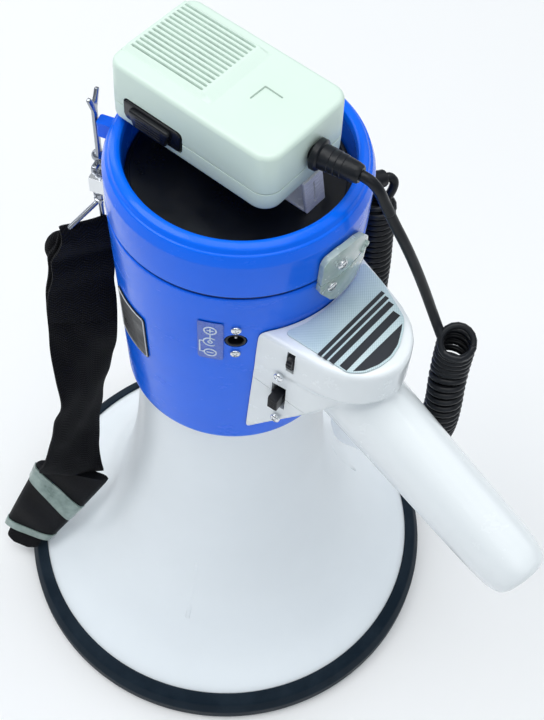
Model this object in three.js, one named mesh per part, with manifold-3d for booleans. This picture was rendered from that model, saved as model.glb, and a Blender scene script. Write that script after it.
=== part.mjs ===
// Handheld megaphone with a plug-in hand microphone, modelled in millimetres.
// The origin is on the horn axis in the mouth plane. +Z runs from the mouth (front) to the
// rear cover, and the pistol grip points along +X. Azimuths are degrees from +X towards +Y.
import * as THREE from 'three';
import { mergeVertices } from 'three/addons/utils/BufferGeometryUtils.js';
import Module from 'manifold-3d';

const wasm = await Module();
wasm.setup();

// ---------------------------------------------------------------- driving dimensions
const SEGMENTS = 32;            // default round a turned part
const RIM_R = 115;              // outer radius of the rubber mouth rim
const BELL_R = 105.9;           // where the white bell meets the rubber
const BELL_WALL = 2.1;
const HOUSING_R0 = 48.6;        // housing radius at its front edge
const HOUSING_Z0 = 198.2;
const HOUSING_WALL = 2.6;
const SEAM_R = 52.3;            // housing radius at the cover seam
const SEAM_Z = 307.5;
const COVER_TOP_Z = 334.4;
const PANEL_TOP_Z = 319.9;
const PLATE_Z = 285;            // rear face of the handle block
const GRIP_START = new THREE.Vector3(72, 0, 248.6);
const GRIP_END = new THREE.Vector3(170.5, 0, 217.6);
const LATCH_AZ = 205;           // cover latch and strap lug
const JACK_AZ = -43.9;
const JACK_Z = 279;
const PLUG_AZ = 67;             // socket of the microphone cord
const PLUG_Z = 292;
const MIC_AZ = 6;

const rad = (degrees) => (degrees * Math.PI) / 180;
const housingR = (z) =>
  HOUSING_R0 + ((z - HOUSING_Z0) * (SEAM_R - HOUSING_R0)) / (SEAM_Z - HOUSING_Z0);

// ---------------------------------------------------------------- materials
const standard = (options) => new THREE.MeshStandardMaterial(options);
const WHITE = standard({ color: 0xe6f0f6, roughness: 0.28 });
const BLUE = standard({ color: 0x1e5fe6, roughness: 0.22 });
const RUBBER = standard({ color: 0x26384c, roughness: 0.75 });
const BLACK = standard({ color: 0x0c0d10, roughness: 0.4 });
const MINT = standard({ color: 0xdcebe2, roughness: 0.45 });
const STEEL = standard({ color: 0xb9bcc0, roughness: 0.3, metalness: 1 });
const CHROME = standard({ color: 0xe8ecee, roughness: 0.08, metalness: 1 });
const CLEAR = standard({ color: 0xd8ece4, roughness: 0.2, transparent: true, opacity: 0.6 });
const LABEL = standard({ color: 0xd5e4ea, roughness: 0.5 });
const BOARD = standard({ color: 0x1f5b34, roughness: 0.6 });
const CELL = standard({ color: 0x8a2c22, roughness: 0.4 });
const MAGNET = standard({ color: 0x2b2b2e, roughness: 0.6 });
const WEBBING = standard({ color: 0x0d0e10, roughness: 0.9 });
const CORD = standard({ color: 0x101114, roughness: 0.5 });
const PAPER = standard({ color: 0xb99d73, roughness: 0.9 });

// ---------------------------------------------------------------- solid helpers
// Positions only, welded, without collapsed triangles and with the faces turned outwards.
function bare(geometry) {
  const stripped = geometry.clone();
  for (const name of Object.keys(stripped.attributes)) {
    if (name !== 'position') stripped.deleteAttribute(name);
  }
  const welded = mergeVertices(stripped, 1e-3);
  const p = welded.attributes.position.array;
  const source = welded.index.array;
  const keep = [];
  for (let i = 0; i < source.length; i += 3) {
    const [a, b, c] = source.slice(i, i + 3);
    if (a !== b && b !== c && a !== c) keep.push(a, b, c);
  }
  let volume = 0;
  for (let i = 0; i < keep.length; i += 3) {
    const [a, b, c] = [keep[i] * 3, keep[i + 1] * 3, keep[i + 2] * 3];
    volume += p[a] * (p[b + 1] * p[c + 2] - p[b + 2] * p[c + 1]) -
      p[a + 1] * (p[b] * p[c + 2] - p[b + 2] * p[c]) +
      p[a + 2] * (p[b] * p[c + 1] - p[b + 1] * p[c]);
  }
  if (volume < 0) {
    for (let i = 0; i < keep.length; i += 3) {
      [keep[i + 1], keep[i + 2]] = [keep[i + 2], keep[i + 1]];
    }
  }
  const out = new THREE.BufferGeometry();
  out.setAttribute('position', new THREE.BufferAttribute(new Float32Array(p), 3));
  out.setIndex(keep);
  return out;
}
function solid(geometry) {
  const g = bare(geometry);
  return new wasm.Manifold(new wasm.Mesh({
    numProp: 3,
    vertProperties: new Float32Array(g.attributes.position.array),
    triVerts: new Uint32Array(g.index.array),
  }));
}
function geometryOf(manifold) {
  const mesh = manifold.getMesh();
  const g = new THREE.BufferGeometry();
  const positions = new Float32Array(mesh.vertProperties);
  g.setAttribute('position', new THREE.BufferAttribute(positions, 3));
  g.setIndex(Array.from(mesh.triVerts));
  return bare(g);
}
const cut = (body, ...tools) =>
  geometryOf(tools.reduce((sum, tool) => sum.subtract(solid(tool)), solid(body)));
const join = (body, ...others) =>
  geometryOf(others.reduce((sum, other) => sum.add(solid(other)), solid(body)));
const both = (a, b) => geometryOf(solid(a).intersect(solid(b)));

const vectors2 = (points) => points.map(([x, y]) => new THREE.Vector2(x, y));
const polygon = (points) => new THREE.Shape(vectors2(points));

// A profile of [radius, z] points revolved about Z.
// It closes on itself unless it starts and ends on the axis.
function turned(profile, segments = SEGMENTS) {
  const points = vectors2(profile);
  const onAxis = profile[0][0] === 0 && profile[profile.length - 1][0] === 0;
  if (!onAxis) points.push(points[0].clone());
  return bare(new THREE.LatheGeometry(points, segments).rotateX(Math.PI / 2));
}
// Extrudes a plan outline ([x, y] points or a Shape) from z0 up to z1.
function raised(outline, z0, z1, bevel = 0) {
  const shape = outline instanceof THREE.Shape ? outline : polygon(outline);
  const g = new THREE.ExtrudeGeometry(shape, {
    depth: z1 - z0 - 2 * bevel,
    bevelEnabled: bevel > 0,
    bevelThickness: bevel,
    bevelSize: bevel,
    bevelOffset: -bevel,
    bevelSegments: 1,
    curveSegments: 4,
    steps: 1,
  });
  return g.translate(0, 0, z0 + bevel);
}
function roundedRect(width, depth, r) {
  const x = width / 2;
  const y = depth / 2;
  return new THREE.Shape()
    .moveTo(r - x, -y).lineTo(x - r, -y).absarc(x - r, r - y, r, -Math.PI / 2, 0)
    .lineTo(x, y - r).absarc(x - r, y - r, r, 0, Math.PI / 2)
    .lineTo(r - x, y).absarc(r - x, y - r, r, Math.PI / 2, Math.PI)
    .lineTo(-x, r - y).absarc(r - x, r - y, r, Math.PI, 1.5 * Math.PI);
}
const cylinder = (lowerR, upperR, height, segments) =>
  new THREE.CylinderGeometry(upperR, lowerR, height, segments).rotateX(Math.PI / 2);
const rodY = (radius, length, segments) =>
  new THREE.CylinderGeometry(radius, radius, length, segments);
const box = (size, centre = [0, 0, 0]) => new THREE.BoxGeometry(...size).translate(...centre);
// A round rope along [x, y, z] points.
function rope(points, radius, steps, sides = 8) {
  const vectors = points.map((point) => new THREE.Vector3(...point));
  const path = new THREE.CatmullRomCurve3(vectors, false, 'centripetal');
  const ring = [];
  for (let i = 0; i < sides; i++) {
    const angle = (2 * Math.PI * i) / sides;
    ring.push([radius * Math.cos(angle), radius * Math.sin(angle)]);
  }
  const options = { extrudePath: path, steps, bevelEnabled: false };
  return bare(new THREE.ExtrudeGeometry(polygon(ring), options));
}
// Puts geometry drawn in a local frame (X outwards, Y sideways, Z up) at an azimuth and radius.
const atWall = (g, azimuth, r, z) => g.translate(r, 0, z).rotateZ(rad(azimuth));
// A cylinder whose axis points outwards, from radius r0 to r1 of the megaphone.
const stud = (r0, r1, radius, azimuth, z, segments) =>
  atWall(rodY(radius, r1 - r0, segments).rotateZ(-Math.PI / 2), azimuth, (r0 + r1) / 2, z);
const polar = (r, azimuth, z) => [r * Math.cos(rad(azimuth)), r * Math.sin(rad(azimuth)), z];

const megaphone = new THREE.Group();
function add(name, geometry, material, parent = megaphone) {
  const mesh = new THREE.Mesh(bare(geometry), material);
  mesh.name = name;
  parent.add(mesh);
}

// ---------------------------------------------------------------- horn
// Outer line of the flare from the neck to the mouth: [radius, z].
const FLARE = [
  [44.2, 198], [44.6, 178], [45.8, 155], [48.0, 132], [51.4, 110], [55.8, 90], [60.6, 74],
  [66.8, 59], [74.2, 46], [82.6, 35], [92.0, 25.2], [BELL_R, 14.2], [109.0, 11.4],
];
// The same line set in by the wall thickness, from the mouth back to the neck.
const flareInside = FLARE.map(([r, z], i) => {
  const [r0, z0] = FLARE[Math.max(i - 1, 0)];
  const [r1, z1] = FLARE[Math.min(i + 1, FLARE.length - 1)];
  const length = Math.hypot(r1 - r0, z1 - z0);
  return [r + (BELL_WALL * (z1 - z0)) / length, z - (BELL_WALL * (r1 - r0)) / length];
}).reverse();
add('horn_bell', turned([
  [45.6, 204], [45.6, 201.6], [44.2, 201.6], ...FLARE, ...flareInside, [41.9, 204],
]), WHITE);
add('rim_gasket', turned([
  [106.15, 14.5], [106.9, 15.2], [111.9, 12.0], [RIM_R, 7.0], [RIM_R, 0.9], [114.1, 0],
  [103.8, 0], [102.9, 0.9], [102.9, 11.2], [103.8, 11.9], [107.5, 9.2], [109.6, 11.2],
]), RUBBER);

// Folded horn inside the bell: a throat tube from the driver and a reflector cup facing it.
add('throat_tube', turned([
  [9.5, 204.1], [12.5, 204.1], [12.8, 150], [15.5, 100], [21.5, 50], [19.3, 50], [13.2, 100],
  [10.4, 150],
], 20), WHITE);
// The cup is one moulding with three fins that reach out to the bell wall.
const FIN_COUNT = 3;
const bellClear = turned([
  [0, -5], [102.6, -5], [102.6, 9], [90.2, 22.6], [80.6, 32.6], [72.2, 43.8], [64.8, 57],
  [58.6, 72.4], [53.6, 89], [49.2, 109.4], [46, 131.6], [43, 160], [0, 160],
]);
const cupBore = turned([
  [0, 45], [40.4, 45], [38.6, 60], [34.8, 101], [34.8, 170], [0, 170],
], 40);
const fins = [...Array(FIN_COUNT).keys()].map((i) => {
  const blade = box([32, 2.4, 34], [50, 0, 62]).rotateZ(rad((i + 0.5) * 360 / FIN_COUNT));
  return cut(both(blade, bellClear), cupBore);
});
add('reflector_cup', join(turned([
  [0, 0], [24, 0], [33, 4], [40, 14], [42, 30], [40, 60], [36.5, 100], [34, 100], [37.6, 60],
  [39.4, 30], [37.6, 16], [31, 8], [22, 12], [0, 40],
], 28), ...fins), WHITE);

// ---------------------------------------------------------------- compression driver
const ring = (innerR, outerR, z0, z1, segments) =>
  turned([[innerR, z0], [outerR, z0], [outerR, z1], [innerR, z1]], segments);
add('driver_front_plate', ring(10, 45.3, 204.4, 207.4, 28), STEEL);
add('diaphragm', turned([
  [0, 213.4], [6, 212.4], [10.6, 209.8], [12.2, 208.9], [23.6, 208.5], [23.6, 209.0],
  [13.1, 209.5], [13.1, 219], [12.3, 219], [12.3, 211.2], [6.2, 213.2], [0, 214.2],
], 20), PAPER);
add('driver_top_plate', ring(13.9, 29, 210.9, 214.7, 24), STEEL);
// Ring magnet joined to its back plate and centre pole.
add('driver_magnet', join(
  ring(17, 30.4, 215.0, 227.4, 24),
  turned([[0, 216.5], [11.4, 216.5], [11.4, 227.2], [29, 227.2], [29, 231.4], [0, 231.4]], 24),
), MAGNET);

// ---------------------------------------------------------------- housing and rear cover
const jackHole = stud(44, 56, 4.6, JACK_AZ, JACK_Z, 24);
const plugHole = stud(44, 58, 4.2, PLUG_AZ, PLUG_Z, 20);
const handleHole = stud(40, 60, 6, 0, 240, 24);
const HOUSING_LIP_R = 44.9;
const HOUSING_LIP_Z = HOUSING_Z0 + 3.1;
add('housing_body', cut(turned([
  [HOUSING_R0 - 0.5, HOUSING_Z0], [HOUSING_R0, HOUSING_Z0 + 0.5],
  [SEAM_R, SEAM_Z - 1.0], [SEAM_R - 0.5, SEAM_Z - 0.5],
  [SEAM_R - HOUSING_WALL, SEAM_Z - 0.5], [HOUSING_R0 - HOUSING_WALL, HOUSING_LIP_Z],
  [HOUSING_LIP_R, HOUSING_LIP_Z], [HOUSING_LIP_R, HOUSING_Z0],
]), jackHole, handleHole, plugHole), BLUE);
add('cover_seal', ring(49.9, 51.5, 307.3, 308.0, SEGMENTS), BLACK);
add('rear_cover', turned([
  [51.8, 308.4], [SEAM_R, 308.9], [52.1, 326], [51.6, 329.6], [50.4, 332.3], [48.6, 333.9],
  [46.4, COVER_TOP_Z], [45.2, 334.2], [44.5, 333.4], [44.4, 317.3], [41.2, 317.3],
  [41.2, 315.2], [46.8, 315.2], [49.5, 312], [49.7, 308.4],
]), BLUE);
add('rear_panel', turned([
  [0, 317.6], [44.05, 317.6], [44.05, PANEL_TOP_Z - 0.3], [43.75, PANEL_TOP_Z], [0, PANEL_TOP_Z],
]), BLACK);

// ---------------------------------------------------------------- batteries and boards
const CELL_COUNT = 8;
const CELL_PITCH = 360 / CELL_COUNT;
const CELL_RING_R = 34.4;
const CELL_R = 13.0;
const cellIndices = [...Array(CELL_COUNT).keys()];
const cellAt = (i, z) => polar(CELL_RING_R, CELL_PITCH / 2 + CELL_PITCH * i, z);

// Contact board inside the cover, with one spring for each cell.
const springs = cellIndices.map((i) => cylinder(3.2, 5.2, 10.6, 10).translate(...cellAt(i, 304.6)));
add('cover_contact_board', join(
  turned([[0, 309.2], [45.6, 309.2], [45.6, 310.8], [0, 310.8]]), ...springs,
), BOARD);
// Floor, centre post and a rib between each pair of cells.
const ribs = cellIndices.map((i) =>
  box([18, 1.6, 30], [17.5, 0, 261]).rotateZ(rad(CELL_PITCH * i)));
add('battery_holder', join(
  turned([[0, 243.5], [46.4, 243.5], [46.4, 246.5], [10, 246.5], [9, 300], [0, 300]]), ...ribs,
), BLACK);
for (const i of cellIndices) {
  add(`battery_cell_${i + 1}`, turned([
    [0, 247], [12.2, 247], [CELL_R, 247.8], [CELL_R, 296.2], [12.2, 297], [4, 297],
    [3.4, 298.4], [0, 298.4],
  ], 12).translate(...cellAt(i, 0)), CELL);
}
// Board with three raised blocks on its rear face.
add('amplifier_board', join(
  box([52, 44, 1.6], [0, 0, 239.4]),
  box([30, 8, 2.6], [0, -14, 241.2]),
  box([10, 12, 2.6], [16, 10, 241.2]),
  box([12, 10, 2.6], [-16, 12, 241.2]),
), BOARD);

// ---------------------------------------------------------------- power inlet, labels
// Solid bodies that follow the outside of the housing, for trimming what sits on it.
const envelope = (r0, z0, r1, z1) =>
  turned([[0, z0], [r0, z0], [r1, SEAM_Z], [r1, z1], [0, z1]], 64);
const wallSkin = (thickness) =>
  envelope(HOUSING_R0 + 0.03 + thickness, 190, SEAM_R + 0.35 + thickness, 330);
const wallClear = wallSkin(0);

add('dc_jack', cut(
  stud(42.5, 51.3, 4.2, JACK_AZ, JACK_Z, 24), stud(44.5, 54, 3.1, JACK_AZ, JACK_Z, 24),
), BLACK);
const JACK_SCREW_OFFSET = 8.4;
const SCREW_SEGMENTS = 14;
for (const [place, side] of [['upper', 1], ['lower', -1]]) {
  const z = JACK_Z + side * JACK_SCREW_OFFSET;
  const seat = housingR(z) + 0.35;
  const screw = stud(seat, seat + 1.3, 2.1, JACK_AZ, z, SCREW_SEGMENTS);
  add(`dc_jack_screw_${place}`, screw, STEEL);
}
const sticker = (width, height, azimuth, z) =>
  cut(both(atWall(box([8, width, height]), azimuth, 51, z), wallSkin(0.4)), wallClear);
add('polarity_label', sticker(9.6, 26, -55, 278), LABEL);
add('rating_label', sticker(21, 29, -101.5, 255.5), BLACK);

// ---------------------------------------------------------------- pistol grip
// Plan outline of the block, [x, y], tapering out from the housing.
const PLATE = [
  [40, -30], [46.3, -28.2], [60, -25.4], [72, -22.6], [80, -19.2], [86, -14], [90, -7.6], [92, 0],
  [90, 7.6], [86, 14], [80, 19.2], [72, 22.6], [60, 25.4], [46.3, 28.2], [40, 30],
];
const lowerBlock = PLATE.map(([x, y]) => [40 + (x - 40) * 0.84, y]);
const shrunk = (outline, shift, scaleY) => outline.map(([x, y]) => [x - shift, y * scaleY]);

const gripAxis = new THREE.Vector3().subVectors(GRIP_END, GRIP_START);
const gripLength = gripAxis.length();
const gripTilt = Math.atan2(-gripAxis.z, gripAxis.x);
// Oval sections of the grip: [fraction of length, half width (y), half depth].
const GRIP_STATIONS = [
  [0, 15.5, 20.5], [0.25, 15.2, 18.6], [0.45, 15.0, 17.4], [0.65, 14.6, 16.6],
  [0.85, 14.0, 16.2], [0.93, 13.2, 15.6], [0.975, 11.6, 14.2], [1, 9.0, 12.0],
];
const GRIP_ROOT = -0.3;         // the grip starts this fraction of its length inside the block
function gripSolid(inset, end) {
  const g = new THREE.CylinderGeometry(1, 1, 1, 20, 8).rotateZ(-Math.PI / 2);
  const p = g.attributes.position;
  for (let i = 0; i < p.count; i++) {
    const t = GRIP_ROOT + (end - GRIP_ROOT) * (p.getX(i) + 0.5);
    let k = 0;
    while (k < GRIP_STATIONS.length - 2 && t > GRIP_STATIONS[k + 1][0]) k++;
    const [t0, width0, depth0] = GRIP_STATIONS[k];
    const [t1, width1, depth1] = GRIP_STATIONS[k + 1];
    const u = THREE.MathUtils.clamp((t - t0) / (t1 - t0), 0, 1);
    const halfWidth = THREE.MathUtils.lerp(width0, width1, u) - inset;
    const halfDepth = THREE.MathUtils.lerp(depth0, depth1, u) - inset;
    p.setXYZ(i, t * gripLength, halfWidth * p.getY(i), halfDepth * p.getZ(i));
  }
  return bare(g).rotateY(gripTilt).translate(...GRIP_START);
}
// Space in front of the block, whose face slopes steeply from the housing to the grip root.
const underside = (lift) => raised([
  [30, 180], [30, 194.8 + lift], [82.4, 264 + lift], [110, 264 + lift], [110, 180],
], -40, 40).rotateX(Math.PI / 2);
const handleOuter = cut(join(
  raised(PLATE, 264, PLATE_Z, 1.6),
  cut(raised(lowerBlock, 203, 270), underside(0)),
  gripSolid(0, 1),
), envelope(housingR(180) + 0.45, 180, SEAM_R + 0.45, 320));
const cavity = join(
  raised(shrunk(PLATE, 3.2, 0.885), 255, PLATE_Z - 3),
  cut(raised(shrunk(lowerBlock, 3.2, 0.875), 214, 268), underside(4.6)),
  gripSolid(2.8, 0.94),
);
const handleShell = cut(handleOuter, cavity);
// The grip parts on a plane parallel to its axis, 6 mm in front of the centre line.
const partingFront = (gap) => box([260, 120, 120], [100, 0, -60 - gap])
  .rotateY(gripTilt).translate(GRIP_START.x - 30, 0, GRIP_START.z + 3.1);

// Frame of the block's -Y face: X along the face, -Y out of it.
const onSide = (size, centre) => onSideFace(box(size, centre));
const onSideFace = (g) => g.rotateZ(rad(11.3)).translate(53.4, -26.6, 0);
const WHEEL_X = 4.4;
const WHEEL_Z = 276.2;
const switchSlot = onSide([6.6, 12, 16], [0, 0, 246.9]);
const wheelSlot = onSide([3.6, 12, 13.0], [WHEEL_X, 0, WHEEL_Z]);
const triggerSlot = box([41, 11.6, 34.5], [83, 0, 217.0]);
const pivotRod = (radius, length, segments) =>
  rodY(radius, length, segments).translate(98.5, 0, 225.6);
add('handle_rear_shell', cut(handleShell, partingFront(0), switchSlot, wheelSlot), WHITE);
add('handle_front_shell', cut(
  both(handleShell, partingFront(0.35)), triggerSlot, switchSlot, pivotRod(1.5, 19.8, 14),
), WHITE);
// Follows the block outline, with a bowed edge beside the housing.
add('nameplate', raised([
  ...shrunk(PLATE, 4.6, 0.82).filter(([x]) => x > 45), [54.2, 19.5], [55.8, 0], [54.2, -19.5],
], PLATE_Z + 0.3, PLATE_Z + 1.0), LABEL);

// ---------------------------------------------------------------- trigger
const TRIGGER_WIDTH = 10.6;
// Side outline: [x, z].
const TRIGGER_OUTLINE = [
  [65.4, 222.5], [66.2, 216.5], [68.6, 210.6], [72.0, 208.2], [76.0, 209.6], [82, 214.0],
  [90, 217.6], [98, 220.2], [101.0, 222.6], [101.2, 226.2], [98.6, 228.6], [92, 229.4],
  [80, 229.6], [66.4, 229.6],
];
add('trigger', cut(
  raised(TRIGGER_OUTLINE, -TRIGGER_WIDTH / 2, TRIGGER_WIDTH / 2).rotateX(Math.PI / 2),
  pivotRod(1.4, 30, 16),
), WHITE);
add('trigger_pin', pivotRod(1.1, 19, 14), STEEL);

// ---------------------------------------------------------------- mode switch and volume wheel
add('mode_switch_body', cut(
  onSide([8.2, 4, 24], [0, 6.4, 247.2]), onSide([5.6, 4.4, 15.8], [0, 4.2, 247.0]),
), BLACK);
add('mode_switch_knob', join(
  onSide([4.6, 5.2, 7.6], [0, -1.4, 246.6]), onSide([4.6, 4.9, 7.6], [0, 3.1, 246.6]),
), BLACK);
for (const [place, z] of [['upper', 263.6], ['lower', 231.6]]) {
  const screw = rodY(2.2, 1.3, SCREW_SEGMENTS).translate(0.3, -1.75, z);
  add(`mode_switch_screw_${place}`, onSideFace(screw), STEEL);
}
const wheel = rodY(5.9, 2.6, 20).rotateZ(Math.PI / 2);
add('volume_wheel', onSideFace(wheel.translate(WHEEL_X, 3.9, WHEEL_Z)), BLACK);

// ---------------------------------------------------------------- cover hinge, clear plastic
const HINGE_AZ = 9;
const HINGE_R = 55.6;           // outer face of the leaves
const LEAF_DEPTH = 9;
// Takes an outline of [sideways, z], extrudes it outwards and trims it to sit on the wall.
function leaf(outline) {
  const g = raised(outline, 0, LEAF_DEPTH);
  const axes = [[0, 1, 0], [0, 0, 1], [1, 0, 0]].map((axis) => new THREE.Vector3(...axis));
  g.applyMatrix4(new THREE.Matrix4().makeBasis(...axes));
  return cut(atWall(g, HINGE_AZ, HINGE_R - LEAF_DEPTH, 0), wallClear);
}
function bodyLeafOutline(z0, z1) {
  const w = 13.6;               // half width
  const c = 4;                  // corner chamfer
  return [[-w + c, z0], [w - c, z0], [w, z0 + c], [w, z1], [-w, z1], [-w, z0 + c]];
}
function coverLeafOutline(z0, z1) {
  const w = 13.6;
  const c = 5;                  // chamfer at +sideways
  const d = c + 2;              // chamfer at -sideways
  return [[-w, z0], [w, z0], [w, z1 - c], [w - c, z1], [-w + d, z1], [-w, z1 - d]];
}
add('hinge_leaf_body', leaf(bodyLeafOutline(298.6, 307.1)), CLEAR);
add('hinge_leaf_cover', leaf(coverLeafOutline(307.9, 320.4)), CLEAR);
for (const [place, sideways, z] of [['cover', -6.2, 313], ['body', -9.4, 303.6]]) {
  const screw = rodY(2.2, 1.4, SCREW_SEGMENTS).rotateZ(-Math.PI / 2).translate(0, sideways, 0);
  add(`hinge_screw_${place}`, atWall(screw, HINGE_AZ, HINGE_R + 1.0, z), STEEL);
}

// ---------------------------------------------------------------- latch and strap hardware
const atLatch = (g, r, z) => atWall(g, LATCH_AZ, r, z);
add('latch_nub', cut(
  atLatch(raised(roundedRect(8, 5.2, 1), 317.5, 325), 55.0, 0), wallClear,
), STEEL);
// Plate on the wall with two ears.
add('strap_lug', join(
  cut(atLatch(box([4.6, 18, 17]), 53.3, 291.5), wallClear),
  ...[-7, 7].map((y) => atLatch(box([7, 3, 8], [0, y, 0]), 58.2, 294)),
), STEEL);
// Flat lever whose slot lies over the nub, with a thicker foot at the lug.
add('latch_lever', join(
  cut(atLatch(box([1.6, 10, 42]), 61.4, 316.4), atLatch(box([8, 6.4, 22]), 61.4, 318.5)),
  atLatch(box([3, 10, 5]), 60.9, 297.8),
), STEEL);
// Snap hook hanging from the lug, with the strap ring in front of it.
add('snap_hook', join(
  rope([
    polar(60.2, 205, 288.6), polar(63.2, 204, 286.5), polar(64.2, 206, 281), polar(64.0, 207, 275),
  ], 1.5, 10),
  atWall(cylinder(2.9, 2.9, 6, 12), 207, 64.2, 272.4),
), STEEL);
add('strap_ring', rope([
  polar(64.4, 207.4, 268.8), polar(70, 214, 258), polar(78, 219, 246.5),
  polar(77, 220.5, 244.2), polar(66, 209, 251), polar(56.8, 200, 262.6),
], 1.1, 22, 6), STEEL);

// ---------------------------------------------------------------- strap
// Flat band through stations of [radius, azimuth, z, azimuth of the width direction, width,
// drop], where drop tips the width direction towards -Z.
function band(stations, thickness, steps) {
  const centres = stations.map(([r, azimuth, z]) => new THREE.Vector3(...polar(r, azimuth, z)));
  const widths = stations.map(([, , , azimuth, width, drop = 0]) =>
    new THREE.Vector3(...polar(Math.sqrt(1 - drop * drop), azimuth, -drop))
      .multiplyScalar(width));
  const path = new THREE.CatmullRomCurve3(centres, false, 'centripetal');
  const side = new THREE.CatmullRomCurve3(widths, false, 'centripetal');
  const g = new THREE.BoxGeometry(1, 1, 1, 1, 1, steps);
  const p = g.attributes.position;
  for (let i = 0; i < p.count; i++) {
    const t = p.getZ(i) + 0.5;
    const point = path.getPoint(t);
    const across = side.getPoint(t);
    const normal = new THREE.Vector3().crossVectors(path.getTangent(t), across).normalize();
    point.addScaledVector(across, p.getX(i)).addScaledVector(normal, p.getY(i) * thickness);
    p.setXYZ(i, ...point);
  }
  return bare(g);
}
// The last stretch of webbing runs through the shoulder pad, which is a flat sleeve.
// Stations without their widths.
const PAD_LINE = [
  [85.5, 228.2, 77, 212], [93.5, 229.6, 62.5, 211], [104, 231.5, 45, 207], [116.5, 233, 23.5, 203],
];
const STRAP_END = [121, 234, 12.5, 203];
const padLine = (...widths) => PAD_LINE.map((station, i) => [...station, widths[i]]);
add('strap_webbing', band([
  [66.2, 206.5, 247.6, 206, 29, 0.62], [69, 211.5, 229, 212, 30], [71.5, 218, 200, 218, 32],
  [74.5, 220, 152, 219, 24], [81, 225, 115, 219, 24.5], [85.2, 228, 90, 214, 24.5],
  ...padLine(22, 22, 21, 20), [...STRAP_END, 20],
], 2.6, 44), WEBBING);
const padBore = band([
  [85, 228, 86, 213, 26], ...padLine(26, 25.5, 24.5, 23.4), [...STRAP_END, 23.4],
], 5, 24);
add('strap_pad', cut(band(padLine(40.5, 41, 40, 29), 8, 12), padBore), WEBBING);
// Steel band round the pad.
const WRAP_LINE = [[88.6, 228.8, 71.2, 211.6], PAD_LINE[1]];
const wrap = (line, width, thickness, steps) =>
  band(line.map((station) => [...station, width]), thickness, steps);
add('strap_pad_band', cut(
  wrap(WRAP_LINE, 45.5, 11.4, 2),
  wrap([[83, 227.8, 81.5, 212], ...WRAP_LINE, [99, 230.6, 53, 209]], 42.6, 9.4, 8),
), STEEL);

// ---------------------------------------------------------------- hand microphone
// Built with its long side along X and its front face up, then placed by its group.
const MIC_LENGTH = 78.3;
const MIC_WIDTH = 47.5;
const MIC_WALL = 2.4;
const MIC_Z0 = 335.1;
const MIC_Z1 = 362.3;
const GRILLE_Z = 363.9;
const SPLIT_Z = 344.0;          // joint between the two shells
const BUTTON_X = -16.0;
const BUTTON_Z = 343.8;
const CORD_EXIT_Y = 1.3;
const CORD_EXIT_Z = 349.6;

const mic = new THREE.Group();
mic.position.set(-8.85, 1.99, 0);
mic.rotation.z = rad(MIC_AZ);
megaphone.add(mic);

const micPlan = (inset = 0) =>
  roundedRect(MIC_LENGTH - 2 * inset, MIC_WIDTH - 2 * inset, 7 - inset);
const buttonSlot = box([29, 12, 10.2], [BUTTON_X, -MIC_WIDTH / 2, BUTTON_Z]);
const cordHole = rodY(3.3, 14, 20).rotateZ(Math.PI / 2)
  .translate(MIC_LENGTH / 2, CORD_EXIT_Y, CORD_EXIT_Z);
const plateau = raised([
  [-35.4, -13.4], [-0.8, -13.4], [-0.8, 16.6], [-35.4, 16.6],
], MIC_Z1 - 1, GRILLE_Z);
const grooves = [...Array(6).keys()].map((i) =>
  box([31, 1.2, 1.0], [-18.1, -10.7 + i * 4.9, GRILLE_Z]));
add('mic_front_shell', cut(
  join(raised(micPlan(), SPLIT_Z + 0.3, MIC_Z1, 2.4), plateau),
  raised(micPlan(MIC_WALL), SPLIT_Z - 3, MIC_Z1 - 2.6),
  buttonSlot, cordHole, ...grooves,
), MINT, mic);
add('mic_rear_shell', cut(
  raised(micPlan(), MIC_Z0, SPLIT_Z, 1.8),
  raised(micPlan(MIC_WALL), MIC_Z0 + MIC_WALL, SPLIT_Z + 2),
  buttonSlot,
), MINT, mic);
add('mic_talk_button', join(
  box([27.8, 5.0, 9.2], [BUTTON_X, -MIC_WIDTH / 2 + 1.9, BUTTON_Z]),
  box([20, 3, 7.6], [-16.4, -MIC_WIDTH / 2 - 1.0, 343.2]),
), BLACK, mic);
add('mic_capsule', turned([
  [0, 352.6], [9.6, 352.6], [9.6, 357.6], [8.8, 358.4], [0, 358.4],
], 24).translate(-18, 2, 0), STEEL, mic);
// Profile of [radius, distance along the cord], leaning 8 degrees towards +Y.
add('mic_cord_boot', new THREE.LatheGeometry(vectors2([
  [0, -4], [2.7, -4], [2.7, 1.3], [6.0, 1.3], [6.0, 4.4], [4.9, 5.2], [4.1, 16], [3.3, 20], [0, 20],
]), 20).rotateZ(-Math.PI / 2 + rad(8))
  .translate(MIC_LENGTH / 2 - 0.1, CORD_EXIT_Y, CORD_EXIT_Z), BLACK, mic);
add('mic_hanger_stud', join(
  cylinder(2.7, 2.7, 6.5, 12).translate(30.2, 3.35, 331.5),
  cylinder(3.9, 3.9, 1.6, 16).translate(30.2, 3.35, 327.6),
), STEEL, mic);

// Chrome clip on the rear panel: a foot, two uprights and two rails with a gap between them.
const CLIP_X = 34;
const CLIP_HALF_SPAN = 9.5;
const CLIP_DEPTH = 11.4;
const CLIP_SHEET = 1.2;
const clip = new THREE.Group();
clip.position.set(-12.5, 5.0, 0);
clip.rotation.copy(mic.rotation);
megaphone.add(clip);
add('mic_hanger_clip', cut(
  join(
    box([19, CLIP_DEPTH, CLIP_SHEET], [33.5, 0, PANEL_TOP_Z + 0.9]),
    ...[1, -1].map((end) => box(
      [CLIP_SHEET, CLIP_DEPTH, 14.2], [CLIP_X + end * CLIP_HALF_SPAN, 0, PANEL_TOP_Z + 7.4],
    )),
    ...[-5, 5].map((y) => box([20.2, 1.4, CLIP_SHEET], [CLIP_X, y, PANEL_TOP_Z + 13.9])),
  ),
  box([3, 1.0, 9], [CLIP_X + CLIP_HALF_SPAN, 0, PANEL_TOP_Z + 7.5]),
), CHROME, clip);

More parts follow.
